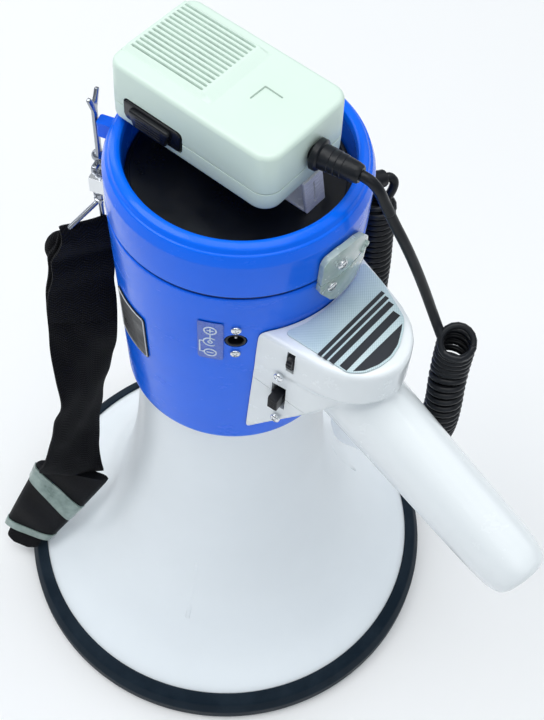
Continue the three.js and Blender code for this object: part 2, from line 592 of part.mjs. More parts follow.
// ---------------------------------------------------------------- cord
add('mic_lead', rope([
  [50.1, 12.3, 349.5], [52.6, 13.2, 348.7], [55.6, 14.8, 345.2], [58.6, 16.5, 338.6],
  [62.4, 18.6, 330.0], [67.4, 21.2, 319.8], [71.9, 24.4, 307.9], [76.6, 28.2, 293.1],
  [80.7, 31.0, 280.5], [85.2, 32.0, 277.6],
], 2.1, 22), CORD);
// The coil is drawn as one thick rope.
add('coiled_cord', rope([
  [93.5, 33.9, 270.2], [93.7, 34.3, 263.5], [94.2, 33, 256.5], [96.3, 30, 249],
  [99, 27.2, 237.5], [99.2, 27, 221.3], [93.2, 33, 190.2], [81.2, 39, 159.2],
  [67.7, 44, 153.5], [56.2, 48, 163.8], [46.2, 51.5, 184.9], [37.7, 54, 203.1],
  [34.1, 52.5, 227.2], [31.3, 54.2, 250.5], [29.1, 55.4, 268.3], [27.1, 56.4, 282.3],
], 8.2, 34), CORD);
add('cord_plug', join(
  stud(48.4, 56.4, 3.8, PLUG_AZ, PLUG_Z, 12),
  cut(stud(50, 66, 5.6, PLUG_AZ, PLUG_Z, 12), wallClear),
), BLACK);

export default megaphone;
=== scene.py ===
"""Megaphone with pistol grip, shoulder strap and hand microphone.

The horn stands mouth down on the floor: its axis is Z, the mouth is at z = 0 and the rear cover
is on top. The grip reaches out along +X, the strap hangs at -X -Y, and the microphone lies on
the rear panel. Lengths are in mm, azimuths in degrees from +X; meshes are stored in metres.
"""
import math

import bmesh
import bpy
import numpy as np
from mathutils import Matrix, Vector


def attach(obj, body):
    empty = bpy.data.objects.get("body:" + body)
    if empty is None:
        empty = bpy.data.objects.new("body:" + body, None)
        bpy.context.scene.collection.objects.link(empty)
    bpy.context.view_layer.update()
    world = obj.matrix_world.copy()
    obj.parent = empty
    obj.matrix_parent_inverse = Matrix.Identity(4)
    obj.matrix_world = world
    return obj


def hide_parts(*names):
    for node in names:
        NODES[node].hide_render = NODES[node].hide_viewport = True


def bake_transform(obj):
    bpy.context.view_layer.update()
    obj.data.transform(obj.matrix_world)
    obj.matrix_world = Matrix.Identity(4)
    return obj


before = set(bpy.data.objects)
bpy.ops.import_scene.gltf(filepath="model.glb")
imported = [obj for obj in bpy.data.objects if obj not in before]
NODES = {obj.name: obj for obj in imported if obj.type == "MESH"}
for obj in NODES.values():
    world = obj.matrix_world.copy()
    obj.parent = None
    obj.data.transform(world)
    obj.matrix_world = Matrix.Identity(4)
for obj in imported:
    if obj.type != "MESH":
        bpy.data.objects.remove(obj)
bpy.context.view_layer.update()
MILLI = 0.001
rad = math.radians

# driving dimensions: the housing is a cone from its horn end up to the seam with the cover
HOUSING_R, HOUSING_Z = 48.6, 198.2
SEAM_R, SEAM_Z = 52.3, 307.5
JACK_AZ, JACK_Z = -43.9, 279
PLUG_AZ, PLUG_Z = 67, 292
PANEL_Z = 319.9


def wall(z):
    """Radius of the housing wall at height z."""
    return HOUSING_R + (z - HOUSING_Z) * (SEAM_R - HOUSING_R) / (SEAM_Z - HOUSING_Z)


# =============================================================== materials
class Shader:
    """A Principled material and the nodes that feed it."""

    def __init__(self, name):
        self.material = bpy.data.materials.new(name)
        self.material.use_nodes = True
        self.tree = self.material.node_tree
        self.tree.nodes.clear()
        output = self.node("OutputMaterial")
        self.surface = self.node("BsdfPrincipled")
        self.put(output.inputs[0], self.surface.outputs[0])
        self.place = self.node("TexCoord").outputs["Object"]

    def put(self, socket, value):
        if isinstance(value, bpy.types.NodeSocket):
            self.tree.links.new(value, socket)
        elif isinstance(value, tuple) and len(value) == 3 and socket.type == "RGBA":
            socket.default_value = (*value, 1)
        else:
            socket.default_value = value

    def fill(self, node, inputs):
        for key, value in inputs.items():
            self.put(node.inputs[key.replace("_", " ")], value)

    def node(self, kind, *values, **inputs):
        """New node: `values` fill its inputs by position, `inputs` by name."""
        made = self.tree.nodes.new("ShaderNode" + kind)
        for socket, value in zip(made.inputs, values):
            self.put(socket, value)
        self.fill(made, inputs)
        return made

    def noise(self, scale, detail=3.0, rough=0.5, stretch=None, swirl=0.0):
        made = self.node("TexNoise", Scale=scale, Detail=detail, Roughness=rough,
                         Distortion=swirl)
        where = self.place
        if stretch:
            where = self.node("Mapping", Scale=stretch, Vector=where).outputs[0]
        self.put(made.inputs["Vector"], where)
        return made.outputs["Fac"]

    def cell_edges(self, scale):
        made = self.node("TexVoronoi", Scale=scale, Vector=self.place)
        made.feature = "DISTANCE_TO_EDGE"
        return made.outputs["Distance"]

    def steps(self, value, stops):
        """Colour bands: (start, colour) rows."""
        made = self.node("ValToRGB", value)
        made.color_ramp.interpolation = "CONSTANT"
        elements = made.color_ramp.elements
        while len(elements) < len(stops):
            elements.new(0.5)
        for i, (start, color) in enumerate(stops):
            elements[i].position = start
            elements[i].color = (*color, 1)
        return made.outputs["Color"]

    def mix(self, amount, first, second):
        made = self.node("Mix")
        made.data_type = "RGBA"
        for i, value in ((0, amount), (6, first), (7, second)):
            self.put(made.inputs[i], value)
        return made.outputs[2]

    def calc(self, operation, first, second=0.0):
        made = self.node("Math", first, second)
        made.operation = operation
        return made.outputs[0]

    def wave(self, value, length):
        return self.calc("SINE", self.calc("MULTIPLY", value, 2 * math.pi / length))

    def remap(self, value, span=(0.3, 0.7), to=(0, 1)):
        return self.node("MapRange", value, *span, *to).outputs[0]

    def blend(self, value, first, second, span=(0.3, 0.7), to=(0, 1)):
        """Mix by a remapped value."""
        return self.mix(self.remap(value, span, to), first, second)

    def bump(self, height, strength, depth, over=None):
        """Relief of `depth` mm, laid over another relief if given."""
        made = self.node("Bump", Strength=strength, Distance=depth * MILLI, Height=height)
        if over is not None:
            self.put(made.inputs["Normal"], over)
        return made.outputs[0]

    def split(self, vector):
        return self.node("SeparateXYZ", vector).outputs

    def cloth_axes(self):
        """Across and along the cloth in mm, from the UV map."""
        source = self.node("UVMap")
        source.uv_map = "map"
        return self.split(source.outputs[0])[:2]

    def done(self, **inputs):
        self.fill(self.surface, inputs)
        return self.material


def scaled(color, factor):
    return tuple(min(1.0, x * factor) for x in color)


def plastic(name, color, rough, coat=0.0, coat_rough=0.06, grain=0.05, grain_scale=1400,
            vary=0.05, scratch=0.12, hollow_shade_color=None, rub=(1, 1, 3), specular=0.5):
    """Moulded plastic: cloudy colour, rub marks, fine grain and painted shade in the hollows, a
    speckled darkening placed by ambient occlusion.
    """
    shader = Shader(name)
    clouds = shader.noise(scale=22, detail=4, rough=0.55)
    tint = shader.blend(clouds, scaled(color, 1 - vary), scaled(color, 1 + vary))
    if hollow_shade_color:
        # painted shade: where ambient occlusion finds a hollow, the colour darkens towards the
        # given dark colour, broken up by speckle
        hollows = shader.node("AmbientOcclusion", Distance=0.004)
        hollows.samples = 4
        speck = shader.noise(scale=260, detail=5, rough=0.65)
        hollow_shade_mask = shader.calc(
            "MULTIPLY", shader.remap(hollows.outputs["AO"], span=(0.35, 0.85), to=(1, 0)),
            shader.remap(speck, span=(0.35, 0.65), to=(0.35, 1)))
        strength = 0.55
        tint = shader.mix(shader.calc("MULTIPLY", hollow_shade_mask, strength), tint, hollow_shade_color)
    rubs = shader.noise(scale=45, detail=6, rough=0.65, stretch=rub, swirl=0.4)
    fine = shader.noise(scale=900, detail=2)
    worn = (rough * (1 - scratch), rough * (1 + scratch * 1.6))
    gloss = shader.calc("ADD", shader.remap(rubs, span=(0.35, 0.7), to=worn),
                        shader.remap(fine, span=(0, 1), to=(-0.015, 0.015)))
    relief = shader.bump(shader.noise(scale=grain_scale, rough=0.6), strength=grain, depth=0.05)
    relief = shader.bump(shader.noise(scale=140, detail=2, rough=0.4), strength=0.05,
                         depth=0.25, over=relief)
    return shader.done(Base_Color=tint, Roughness=gloss, Normal=relief, Coat_Weight=coat,
                       Coat_Roughness=coat_rough, Specular_IOR_Level=specular)


def metal(name, color, rough, wear=0.1, metallic=1.0):
    """Metal with brushed streaks and duller patches."""
    shader = Shader(name)
    streaks = shader.noise(scale=315, detail=5, rough=0.7, stretch=(1, 1, 14))
    patches = shader.noise(scale=70, detail=4)
    return shader.done(
        Base_Color=shader.blend(patches, color, scaled(color, 0.72), span=(0.35, 0.7),
                                to=(0, wear * 3)),
        Metallic=metallic,
        Roughness=shader.remap(streaks, span=(0.3, 0.75), to=(rough * 0.7, rough * 1.8)),
        Normal=shader.bump(streaks, strength=0.06, depth=0.03))


# the dark colour for the hollows given to four plastics below is painted shade
WHITE = plastic("white_gloss_plastic", (0.86, 0.915, 0.955), rough=0.34, coat=0.22,
                coat_rough=0.14, grain=0.025, vary=0.015, scratch=0.15, hollow_shade_color=(0.50, 0.54, 0.56))
HANDLE = plastic("white_handle_plastic", (0.86, 0.905, 0.925), rough=0.24, coat=0.35,
                 coat_rough=0.1, grain=0.04, grain_scale=900, vary=0.012, scratch=0.15,
                 hollow_shade_color=(0.50, 0.53, 0.54), rub=(1, 1, 1))
BLUE = plastic("blue_gloss_plastic", (0.0, 0.150, 0.97), rough=0.2, coat=0.1, grain=0.03,
               scratch=0.35, hollow_shade_color=(0.01, 0.03, 0.16), specular=0.2)
PANEL = plastic("black_panel_plastic", (0.003, 0.004, 0.007), rough=0.34, coat=0.1, grain=0.25,
                grain_scale=1100, vary=0.25, scratch=0.3, specular=0.3)
BLACK = plastic("black_moulded_plastic", (0.006, 0.007, 0.010), rough=0.36, grain=0.2,
                grain_scale=1300, vary=0.2, scratch=0.25, specular=0.3)
MINT = plastic("mint_grey_plastic", (0.70, 0.845, 0.755), rough=0.38, coat=0.08, grain=0.2,
               grain_scale=1700, vary=0.02, scratch=0.15, hollow_shade_color=(0.30, 0.38, 0.33))
# dark mint for the floors of the grille slots: painted shade in the slots
SLOT_PAINTED_SHADE = plastic("mint_slot_painted_shade", (0.20, 0.26, 0.23), rough=0.6, grain=0.2, vary=0.1)
SWITCH = plastic("switch_black_plastic", (0.006, 0.007, 0.010), rough=0.3, grain=0.12,
                 vary=0.2, specular=0.3)
MARK = plastic("mint_mark_plastic", (0.34, 0.45, 0.38), rough=0.45, grain=0.1)
INK = plastic("label_black_ink", (0.012, 0.015, 0.022), rough=0.42, grain=0.3,
              grain_scale=1000, vary=0.5)

CHROME = metal("chrome_plate", (0.78, 0.80, 0.82), rough=0.09)
# the hanger clip's chrome as a near-white, barely metallic colour: painted reflection of bright
# chrome
BRACKET_PAINTED_SHINE = metal("chrome_bracket_painted_shine", (0.86, 0.87, 0.88), rough=0.22, metallic=0.12)
DARK_CHROME = metal("chrome_hook", (0.34, 0.36, 0.40), rough=0.14)
STEEL = metal("zinc_steel", (0.56, 0.57, 0.58), rough=0.28)
FERRITE = metal("ferrite_magnet", (0.05, 0.05, 0.055), rough=0.5, wear=0.3)

# dusty dark rubber of the mouth rim
shader = Shader("rim_rubber")
speck = shader.noise(scale=700, detail=4, rough=0.7)
dust = shader.noise(scale=45, detail=5, rough=0.6)
RUBBER = shader.done(
    Base_Color=shader.blend(dust, (0.004, 0.012, 0.022), (0.022, 0.036, 0.052),
                            span=(0.4, 0.75), to=(0, 0.6)),
    Roughness=shader.remap(dust, to=(0.42, 0.62)),
    Normal=shader.bump(speck, strength=0.25, depth=0.12), Specular_IOR_Level=0.12)

# black cord jacket
shader = Shader("cord_jacket")
CORD = shader.done(
    Base_Color=shader.blend(shader.noise(scale=60), (0.004, 0.005, 0.007),
                            (0.010, 0.012, 0.016)),
    Roughness=shader.remap(shader.noise(scale=200, detail=4), to=(0.3, 0.46)),
    Normal=shader.bump(shader.noise(scale=1500, rough=0.6), strength=0.12, depth=0.04),
    Coat_Weight=0.15, Coat_Roughness=0.2, Specular_IOR_Level=0.22)

# cloudy clear plastic of the hinge
shader = Shader("clear_hinge_plastic")
clouds = shader.noise(scale=160, detail=5, rough=0.6)
CLEAR = shader.done(
    Base_Color=shader.blend(clouds, (0.62, 0.80, 0.74), (0.80, 0.91, 0.88)),
    Roughness=shader.remap(clouds, to=(0.12, 0.3)), Transmission_Weight=0.55, IOR=1.45,
    Normal=shader.bump(shader.noise(scale=420, detail=4, rough=0.6), strength=0.25, depth=0.2),
    Subsurface_Weight=0.25, Subsurface_Scale=0.002, Subsurface_Radius=(1, 1, 1),
    Coat_Weight=0.4)

# printed nameplate: pale grey-blue with a fine lattice
shader = Shader("nameplate_print")
lattice_pitch = 0.0011
across, along = shader.split(shader.place)[:2]
lattice = shader.calc("MULTIPLY", shader.wave(across, lattice_pitch),
                      shader.wave(along, lattice_pitch))
tint = shader.blend(lattice, (0.42, 0.56, 0.60), (0.60, 0.74, 0.77), span=(-0.4, 0.6))
LABEL = shader.done(
    Base_Color=shader.blend(shader.noise(scale=120, detail=4), tint, (0.68, 0.80, 0.82),
                            to=(0, 0.35)),
    Roughness=shader.remap(shader.noise(scale=90, detail=4), to=(0.3, 0.45)),
    Normal=shader.bump(lattice, strength=0.12, depth=0.05),
    Coat_Weight=0.25, Coat_Roughness=0.2)

# white print
shader = Shader("white_print")
PRINT = shader.done(
    Base_Color=shader.blend(shader.noise(scale=500), (0.55, 0.66, 0.85), (0.8, 0.88, 0.95)),
    Roughness=0.45,
    Normal=shader.bump(shader.noise(scale=1500, detail=2), strength=0.1, depth=0.03))

# blue sticker film
shader = Shader("clear_blue_sticker")
STICKER = shader.done(
    Base_Color=shader.blend(shader.noise(scale=90, detail=4), (0.012, 0.075, 0.52),
                            (0.02, 0.12, 0.62)),
    Roughness=shader.remap(shader.noise(scale=300), to=(0.2, 0.34)),
    Normal=shader.bump(shader.noise(scale=500), strength=0.1, depth=0.08),
    Coat_Weight=0.5, Coat_Roughness=0.15)

# woven webbing: chevron ribs across, yarns along, lint on top
shader = Shader("woven_webbing")
across, along = shader.cloth_axes()
zigzag = shader.calc("MULTIPLY", shader.calc("PINGPONG", across, 4.0), 0.6)
ribs = shader.wave(shader.calc("ADD", along, zigzag), length=1.5)
yarn = shader.wave(across, length=0.9)
weave = shader.calc("ADD", shader.calc("MULTIPLY", ribs, 0.6),
                    shader.calc("MULTIPLY", yarn, 0.4))
lint = shader.noise(scale=900, detail=4, rough=0.8)
tint = shader.blend(weave, (0.0012, 0.0012, 0.0018), (0.0065, 0.007, 0.010), span=(-0.8, 0.8))
WEBBING = shader.done(
    Base_Color=shader.blend(lint, tint, (0.05, 0.05, 0.06), span=(0.68, 0.85), to=(0, 0.25)),
    Roughness=0.9,
    Normal=shader.bump(weave, strength=0.7, depth=0.25,
                       over=shader.bump(lint, strength=0.25, depth=0.15)),
    Sheen_Weight=0.03, Sheen_Roughness=0.5, Specular_IOR_Level=0.1)

# soft wrinkled vinyl of the pad
shader = Shader("pad_vinyl")
cells = shader.cell_edges(scale=620)
wrinkles = shader.noise(scale=60, detail=4, rough=0.6)
VINYL = shader.done(
    Base_Color=shader.blend(wrinkles, (0.003, 0.003, 0.004), (0.009, 0.010, 0.013)),
    Roughness=shader.remap(wrinkles, to=(0.42, 0.6)),
    Normal=shader.bump(shader.remap(cells, span=(0, 0.25)), strength=0.35, depth=0.12,
                       over=shader.bump(wrinkles, strength=0.3, depth=0.8)),
    Specular_IOR_Level=0.1)

# satin grey-green binding
shader = Shader("satin_binding")
across, along = shader.cloth_axes()
threads = shader.calc("MULTIPLY", shader.wave(across, length=0.6),
                      shader.wave(along, length=0.8))
patches = shader.noise(scale=110, detail=4, rough=0.6)
SATIN = shader.done(
    Base_Color=shader.blend(patches, (0.10, 0.17, 0.15), (0.30, 0.40, 0.37)),
    Roughness=shader.remap(patches, to=(0.24, 0.42)),
    Normal=shader.bump(threads, strength=0.35, depth=0.12,
                       over=shader.bump(patches, strength=0.4, depth=0.6)),
    Sheen_Weight=0.4, Coat_Weight=0.3, Coat_Roughness=0.25, Anisotropic=0.5)

# circuit board
shader = Shader("green_laminate")
BOARD = shader.done(
    Base_Color=shader.blend(shader.cell_edges(scale=300), (0.02, 0.13, 0.06),
                            (0.05, 0.28, 0.12), span=(0.0, 0.06), to=(1, 0)),
    Roughness=0.4, Normal=shader.bump(shader.noise(scale=800), strength=0.15, depth=0.05))

# battery cell jacket, banded along its height (m)
shader = Shader("cell_jacket")
height = shader.remap(shader.split(shader.place)[2], span=(0.247, 0.297))
bands_color = shader.steps(height, [(0.0, (0.5, 0.5, 0.5)), (0.03, (0.32, 0.03, 0.02)),
                                    (0.7, (0.62, 0.45, 0.10)), (0.96, (0.5, 0.5, 0.5))])
CELL = shader.done(
    Base_Color=shader.blend(shader.noise(scale=80, detail=4), bands_color, (0.1, 0.06, 0.03),
                            span=(0.4, 0.7), to=(0, 0.3)),
    Metallic=0.5, Roughness=0.3,
    Normal=shader.bump(shader.noise(scale=900), strength=0.1, depth=0.05))

# diaphragm film
shader = Shader("cone_film")
FILM = shader.done(
    Base_Color=shader.blend(shader.noise(scale=300, detail=4), (0.42, 0.30, 0.16),
                            (0.55, 0.42, 0.24)),
    Roughness=0.5, Normal=shader.bump(shader.noise(scale=1200), strength=0.2, depth=0.06))


# =============================================================== placing
def shift(x, y, z):
    place = np.eye(4)
    place[:3, 3] = (x, y, z)
    return place


def turn(axis, degrees):
    return np.array(Matrix.Rotation(rad(degrees), 4, axis))


def polar(radius, azimuth, z):
    return np.array([radius * math.cos(rad(azimuth)), radius * math.sin(rad(azimuth)), z])


def outward(azimuth):
    return polar(1, azimuth, 0)


def unit(vectors):
    return vectors / np.maximum(np.linalg.norm(vectors, axis=-1, keepdims=True), 1e-9)


def aim(origin, direction):
    """Frame at `origin` with local Z along a level direction and local X straight up."""
    toward = unit(np.asarray(direction, float))
    place = np.eye(4)
    place[:3, 0] = (0, 0, 1)
    place[:3, 1] = np.cross(toward, (0, 0, 1))
    place[:3, 2] = toward
    place[:3, 3] = origin
    return place


def placed(points, place):
    return np.asarray(points, float) @ place[:3, :3].T + place[:3, 3]


def moved(geometry, place):
    return placed(geometry[0], place), geometry[1]


# =============================================================== lines and outlines
def lengths(points):
    """Distance from the first point to each point."""
    return np.r_[0, np.cumsum(np.linalg.norm(np.diff(points, axis=0), axis=1))]


def sample(points, stations, at):
    return np.stack([np.interp(at, stations, column) for column in np.transpose(points)], 1)


def curve(points, count):
    """`count` evenly spaced points along a centripetal curve through `points`."""
    points = np.asarray(points, float)
    points = np.vstack([2 * points[0] - points[1], points, 2 * points[-1] - points[-2]])
    dense = []
    for before, start, stop, after in zip(points, points[1:], points[2:], points[3:]):
        gap0, gap1, gap2 = [max(np.linalg.norm(b - a) ** 0.5, 1e-6)
                            for a, b in ((before, start), (start, stop), (stop, after))]
        leave = ((start - before) / gap0 - (stop - before) / (gap0 + gap1)
                 + (stop - start) / gap1) * gap1
        arrive = ((stop - start) / gap1 - (after - start) / (gap1 + gap2)
                  + (after - stop) / gap2) * gap1
        for t in np.linspace(0, 1, 24, endpoint=False):
            dense.append((2 * t ** 3 - 3 * t * t + 1) * start + (t ** 3 - 2 * t * t + t) * leave
                         + (-2 * t ** 3 + 3 * t * t) * stop + (t ** 3 - t * t) * arrive)
    dense.append(points[-2])
    dense = np.array(dense)
    stations = lengths(dense)
    return sample(dense, stations, np.linspace(0, stations[-1], count))


def rounded(points, radius, closed=True, steps=5):
    """2D polyline with rounded corners; one radius for all or one per corner."""
    points = [np.asarray(point, float) for point in points]
    count = len(points)
    radii = [radius] * count if np.isscalar(radius) else radius
    result = []
    for i, corner in enumerate(points):
        if not closed and i in (0, count - 1):
            result.append(corner)
            continue
        back, ahead = points[i - 1] - corner, points[(i + 1) % count] - corner
        back_length, ahead_length = np.linalg.norm(back), np.linalg.norm(ahead)
        back, ahead = back / back_length, ahead / ahead_length
        angle = math.acos(max(-1, min(1, float(back @ ahead))))
        if radii[i] <= 0 or angle > math.pi - 0.02:
            result.append(corner)
            continue
        reach = min(radii[i] / math.tan(angle / 2), back_length * 0.49, ahead_length * 0.49)
        fit = reach * math.tan(angle / 2)
        bisector = back + ahead
        centre = corner + bisector / np.linalg.norm(bisector) * fit / math.sin(angle / 2)
        first = corner + back * reach - centre
        last = corner + ahead * reach - centre
        start = math.atan2(first[1], first[0])
        stop = math.atan2(last[1], last[0])
        sweep = (stop - start + math.pi) % (2 * math.pi) - math.pi
        for k in range(steps + 1):
            a = start + sweep * k / steps
            result.append(centre + fit * np.array([math.cos(a), math.sin(a)]))
    return np.array(result)


def rect(x0, y0, x1, y1):
    return [(x0, y0), (x1, y0), (x1, y1), (x0, y1)]


def counterclockwise(outline):
    points = np.asarray(outline, float)
    x, y = points[:, 0], points[:, 1]
    area = (x * np.roll(y, -1) - np.roll(x, -1) * y).sum()
    return points if area > 0 else points[::-1]


def inset(outline, distance):
    """Move a closed counter-clockwise outline inwards along its mean normals."""
    edges = np.roll(outline, -1, 0) - outline
    size = np.linalg.norm(edges, axis=1, keepdims=True)
    size[size < 1e-9] = 1
    edges = edges / size
    normals = np.stack([-edges[:, 1], edges[:, 0]], 1)
    mean = unit(normals + np.roll(normals, 1, 0))
    return outline + mean * distance / np.maximum((mean * normals).sum(1, keepdims=True), 0.4)


# =============================================================== geometry: (vertices, faces)
def merge(*parts):
    verts, faces, start = [], [], 0
    for part_verts, part_faces in parts:
        verts.append(np.asarray(part_verts, float))
        faces += [[i + start for i in face] for face in part_faces]
        start += len(part_verts)
    return np.vstack(verts), faces


def bands(rows, width, closed=False):
    """Quads between neighbouring rings of `width` vertices."""
    faces = []
    for i in range(rows if closed else rows - 1):
        low, high = i * width, (i + 1) % rows * width
        for j in range(width):
            k = (j + 1) % width
            faces.append([low + j, low + k, high + k, high + j])
    return faces


def capped(rows, width):
    """Bands with both ends closed."""
    last = (rows - 1) * width
    return bands(rows, width) + [list(range(width))[::-1], list(range(last, last + width))]


def without_repeats(face):
    return [vert for i, vert in enumerate(face) if vert != face[i - 1]]


def lathe(profile, segments):
    """(radius, z) profile about Z; starts and ends on the axis, or closes on itself."""
    profile = [tuple(map(float, point)) for point in profile]
    on_axis = profile[0][0] < 1e-6 and profile[-1][0] < 1e-6
    verts, rings = [], []
    for radius, z in profile:
        if radius < 1e-6:
            rings.append([len(verts)] * segments)
            verts.append((0, 0, z))
            continue
        rings.append(range(len(verts), len(verts) + segments))
        for i in range(segments):
            a = rad(360.0 * i / segments)
            verts.append((radius * math.cos(a), radius * math.sin(a), z))
    faces = []
    for k in range(len(rings) - 1 if on_axis else len(rings)):
        low, high = rings[k], rings[(k + 1) % len(rings)]
        for i in range(segments):
            j = (i + 1) % segments
            face = without_repeats([low[i], low[j], high[j], high[i]])
            if len(face) >= 3:
                faces.append(face)
    return np.array(verts), faces


def prism(outline, low, high, top, bottom, steps=4, draft=0.0):
    """Extruded outline; `top` and `bottom` are edge radii, `draft` narrows it upwards."""
    outline = counterclockwise(outline)
    quarter = [math.pi / 2 * k / steps for k in range(steps + 1)]
    levels = [(low, 0)]
    if bottom > 0:
        levels = [(low + bottom * (1 - math.cos(a)), bottom * (1 - math.sin(a)))
                  for a in quarter]
    if top > 0:
        levels += [(high - top * (1 - math.sin(a)), top * (1 - math.cos(a))) for a in quarter]
    else:
        levels.append((high, 0))
    verts = []
    for z, distance in levels:
        ring = inset(outline, distance + draft * (z - low) / (high - low))
        verts += [(x, y, z) for x, y in ring]
    return np.array(verts), capped(len(levels), len(outline))


def cuboid(size, at=(0, 0, 0)):
    signs = (-1, 1)
    verts = [(at[0] + i * size[0] / 2, at[1] + j * size[1] / 2, at[2] + k * size[2] / 2)
             for i in signs for j in signs for k in signs]
    faces = [(0, 1, 3, 2), (4, 6, 7, 5), (0, 4, 5, 1), (2, 3, 7, 6), (0, 2, 6, 4), (1, 5, 7, 3)]
    return np.array(verts), faces


def soft_box(size, at=(0, 0, 0), edge=0.5, corner=None, steps=3):
    """Box with rounded edges; `corner` rounds the upright edges."""
    width, depth, height = size
    outline = rounded(rect(-width / 2, -depth / 2, width / 2, depth / 2),
                      edge if corner is None else corner, steps=steps)
    return moved(prism(outline, -height / 2, height / 2, edge, edge, steps), shift(*at))


def frames(path):
    """Path, tangents and two untwisted normals along it."""
    path = np.asarray(path, float)
    along = unit(np.gradient(path, axis=0))
    first = np.cross(along[0], (0, 0, 1.0))
    if np.linalg.norm(first) < 1e-3:
        first = np.cross(along[0], (0, 1.0, 0))
    normals = [unit(first - along[0] * (first @ along[0]))]
    for tangent in along[1:]:
        normals.append(unit(normals[-1] - tangent * (normals[-1] @ tangent)))
    normals = np.array(normals)
    return path, along, normals, np.cross(along, normals)


def tube(path, radius, sides=12, closed=False):
    """Round tube, one radius or one per point; open ends get a small shoulder."""
    path, along, normal, binormal = frames(path)
    count = len(path)
    radii = np.full(count, float(radius)) if np.isscalar(radius) else radius
    if closed:
        # spread the twist so that the last ring meets the first
        twist = math.atan2(float(np.cross(normal[-1], normal[0]) @ along[0]),
                           float(normal[-1] @ normal[0]))
        for i in range(count):
            c, s = math.cos(twist * i / count), math.sin(twist * i / count)
            normal[i], binormal[i] = (normal[i] * c + binormal[i] * s,
                                      -normal[i] * s + binormal[i] * c)
    angles = np.arange(sides)[None, :, None] * 2 * math.pi / sides
    spokes = np.cos(angles) * normal[:, None] + np.sin(angles) * binormal[:, None]
    verts = (path[:, None] + radii[:, None, None] * spokes).reshape(-1, 3)
    faces = bands(count, sides, closed)
    if not closed:
        for end, sign in ((0, -1), (count - 1, 1)):
            start, cap = end * sides, len(verts)
            tip = path[end] + along[end] * sign * radii[end] * 0.35
            ring = tip + (verts[start:start + sides] - path[end]) * 0.72
            verts = np.vstack([verts, ring])
            for j in range(sides):
                k = (j + 1) % sides
                faces.append([start + j, start + k, cap + k, cap + j])
            faces.append(list(range(cap, cap + sides)))
    return verts, faces


def ribbon(centres, across, widths, thick, columns, crown=0.0, ripple=None):
    """Flat band with thinned edges. Returns its geometry and its (across, along) map in mm."""
    rows = len(centres)
    normal = unit(np.cross(unit(np.gradient(centres, axis=0)), across))
    face = np.linspace(-0.5, 0.5, columns + 1)
    half = 0.5 * (1 - 0.4 * np.clip((np.abs(face) - 0.42) / 0.08, 0, 1))
    arch = crown * (1 - (2 * face) ** 2)
    aside = np.outer(widths, np.r_[face, face[::-1]])
    height = np.r_[half, -half[::-1]] * thick + np.r_[arch, arch[::-1]]
    ring = len(height)
    ahead = np.repeat(lengths(centres), ring).reshape(rows, ring)
    if ripple:
        height = height + ripple(aside, ahead)
    verts = (centres[:, None] + across[:, None] * aside[..., None]
             + normal[:, None] * height[..., None])
    faces = bands(rows, ring)
    for start in (0, (rows - 1) * ring):
        end = start + ring - 1
        faces += [[start + j, start + j + 1, end - j - 1, end - j] for j in range(columns)]
    return (verts.reshape(-1, 3), faces), np.stack([aside.ravel(), ahead.ravel()], 1)


def wall_patch(azimuth, outline, inner, outer):
    """Outline drawn in (arc mm, z), extruded between two heights above the housing wall."""
    grid = bmesh.new()
    grid.faces.new([grid.verts.new((x, y, 0)) for x, y in counterclockwise(outline)])
    strip = 1.4
    # upright cuts let the patch bend round the wall
    for x in np.arange(np.min(outline, 0)[0] + strip, np.max(outline, 0)[0], strip):
        bmesh.ops.bisect_plane(grid, geom=grid.verts[:] + grid.edges[:] + grid.faces[:],
                               plane_co=(x, 0, 0), plane_no=(1, 0, 0))
    extruded = bmesh.ops.extrude_face_region(grid, geom=grid.faces[:])
    for item in extruded["geom"]:
        if isinstance(item, bmesh.types.BMVert):
            item.co.z = 1
    verts = []
    for vert in grid.verts:
        arc, z, level = vert.co
        verts.append(polar(wall(z) + inner + (outer - inner) * level,
                           azimuth + math.degrees(arc / wall(z)), z))
    grid.verts.index_update()
    faces = [[vert.index for vert in face.verts] for face in grid.faces]
    grid.free()
    return np.array(verts), faces


def wall_line(azimuth, points, radius=0.32, lift=0.62, closed=False):
    """Thin tube through (arc mm, z) points just above the housing wall."""
    return tube([polar(wall(z) + lift, azimuth + math.degrees(arc / wall(z)), z)
                 for arc, z in points], radius, 6, closed)


# =============================================================== objects
def shade(mesh, sharp, recalc=True):
    """Smooth shading with edges over `sharp` degrees kept hard."""
    work = bmesh.new()
    work.from_mesh(mesh)
    if recalc:
        bmesh.ops.recalc_face_normals(work, faces=work.faces)
    for face in work.faces:
        face.smooth = True
    for edge in work.edges:
        edge.smooth = not (len(edge.link_faces) == 2
                           and edge.calc_face_angle(0.0) > rad(sharp))
    work.to_mesh(mesh)
    work.free()
    mesh.update()


def raw(name, geometry, material=None, place=None):
    """Linked object from geometry in mm."""
    verts, faces = moved(geometry, place) if place is not None else geometry
    mesh = bpy.data.meshes.new(name)
    mesh.from_pydata((np.asarray(verts, float) * MILLI).tolist(), [],
                     [list(map(int, face)) for face in faces])
    mesh.update()
    work = bmesh.new()
    work.from_mesh(mesh)
    bmesh.ops.recalc_face_normals(work, faces=work.faces)
    work.to_mesh(mesh)
    work.free()
    if material:
        mesh.materials.append(material)
    made = bpy.data.objects.new(name, mesh)
    bpy.context.scene.collection.objects.link(made)
    return made


def label(made, replaced):
    if replaced:
        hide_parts(replaced)
    return made


def settle(made, replaced=None, body="housing"):
    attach(made, body)
    return label(made, replaced)


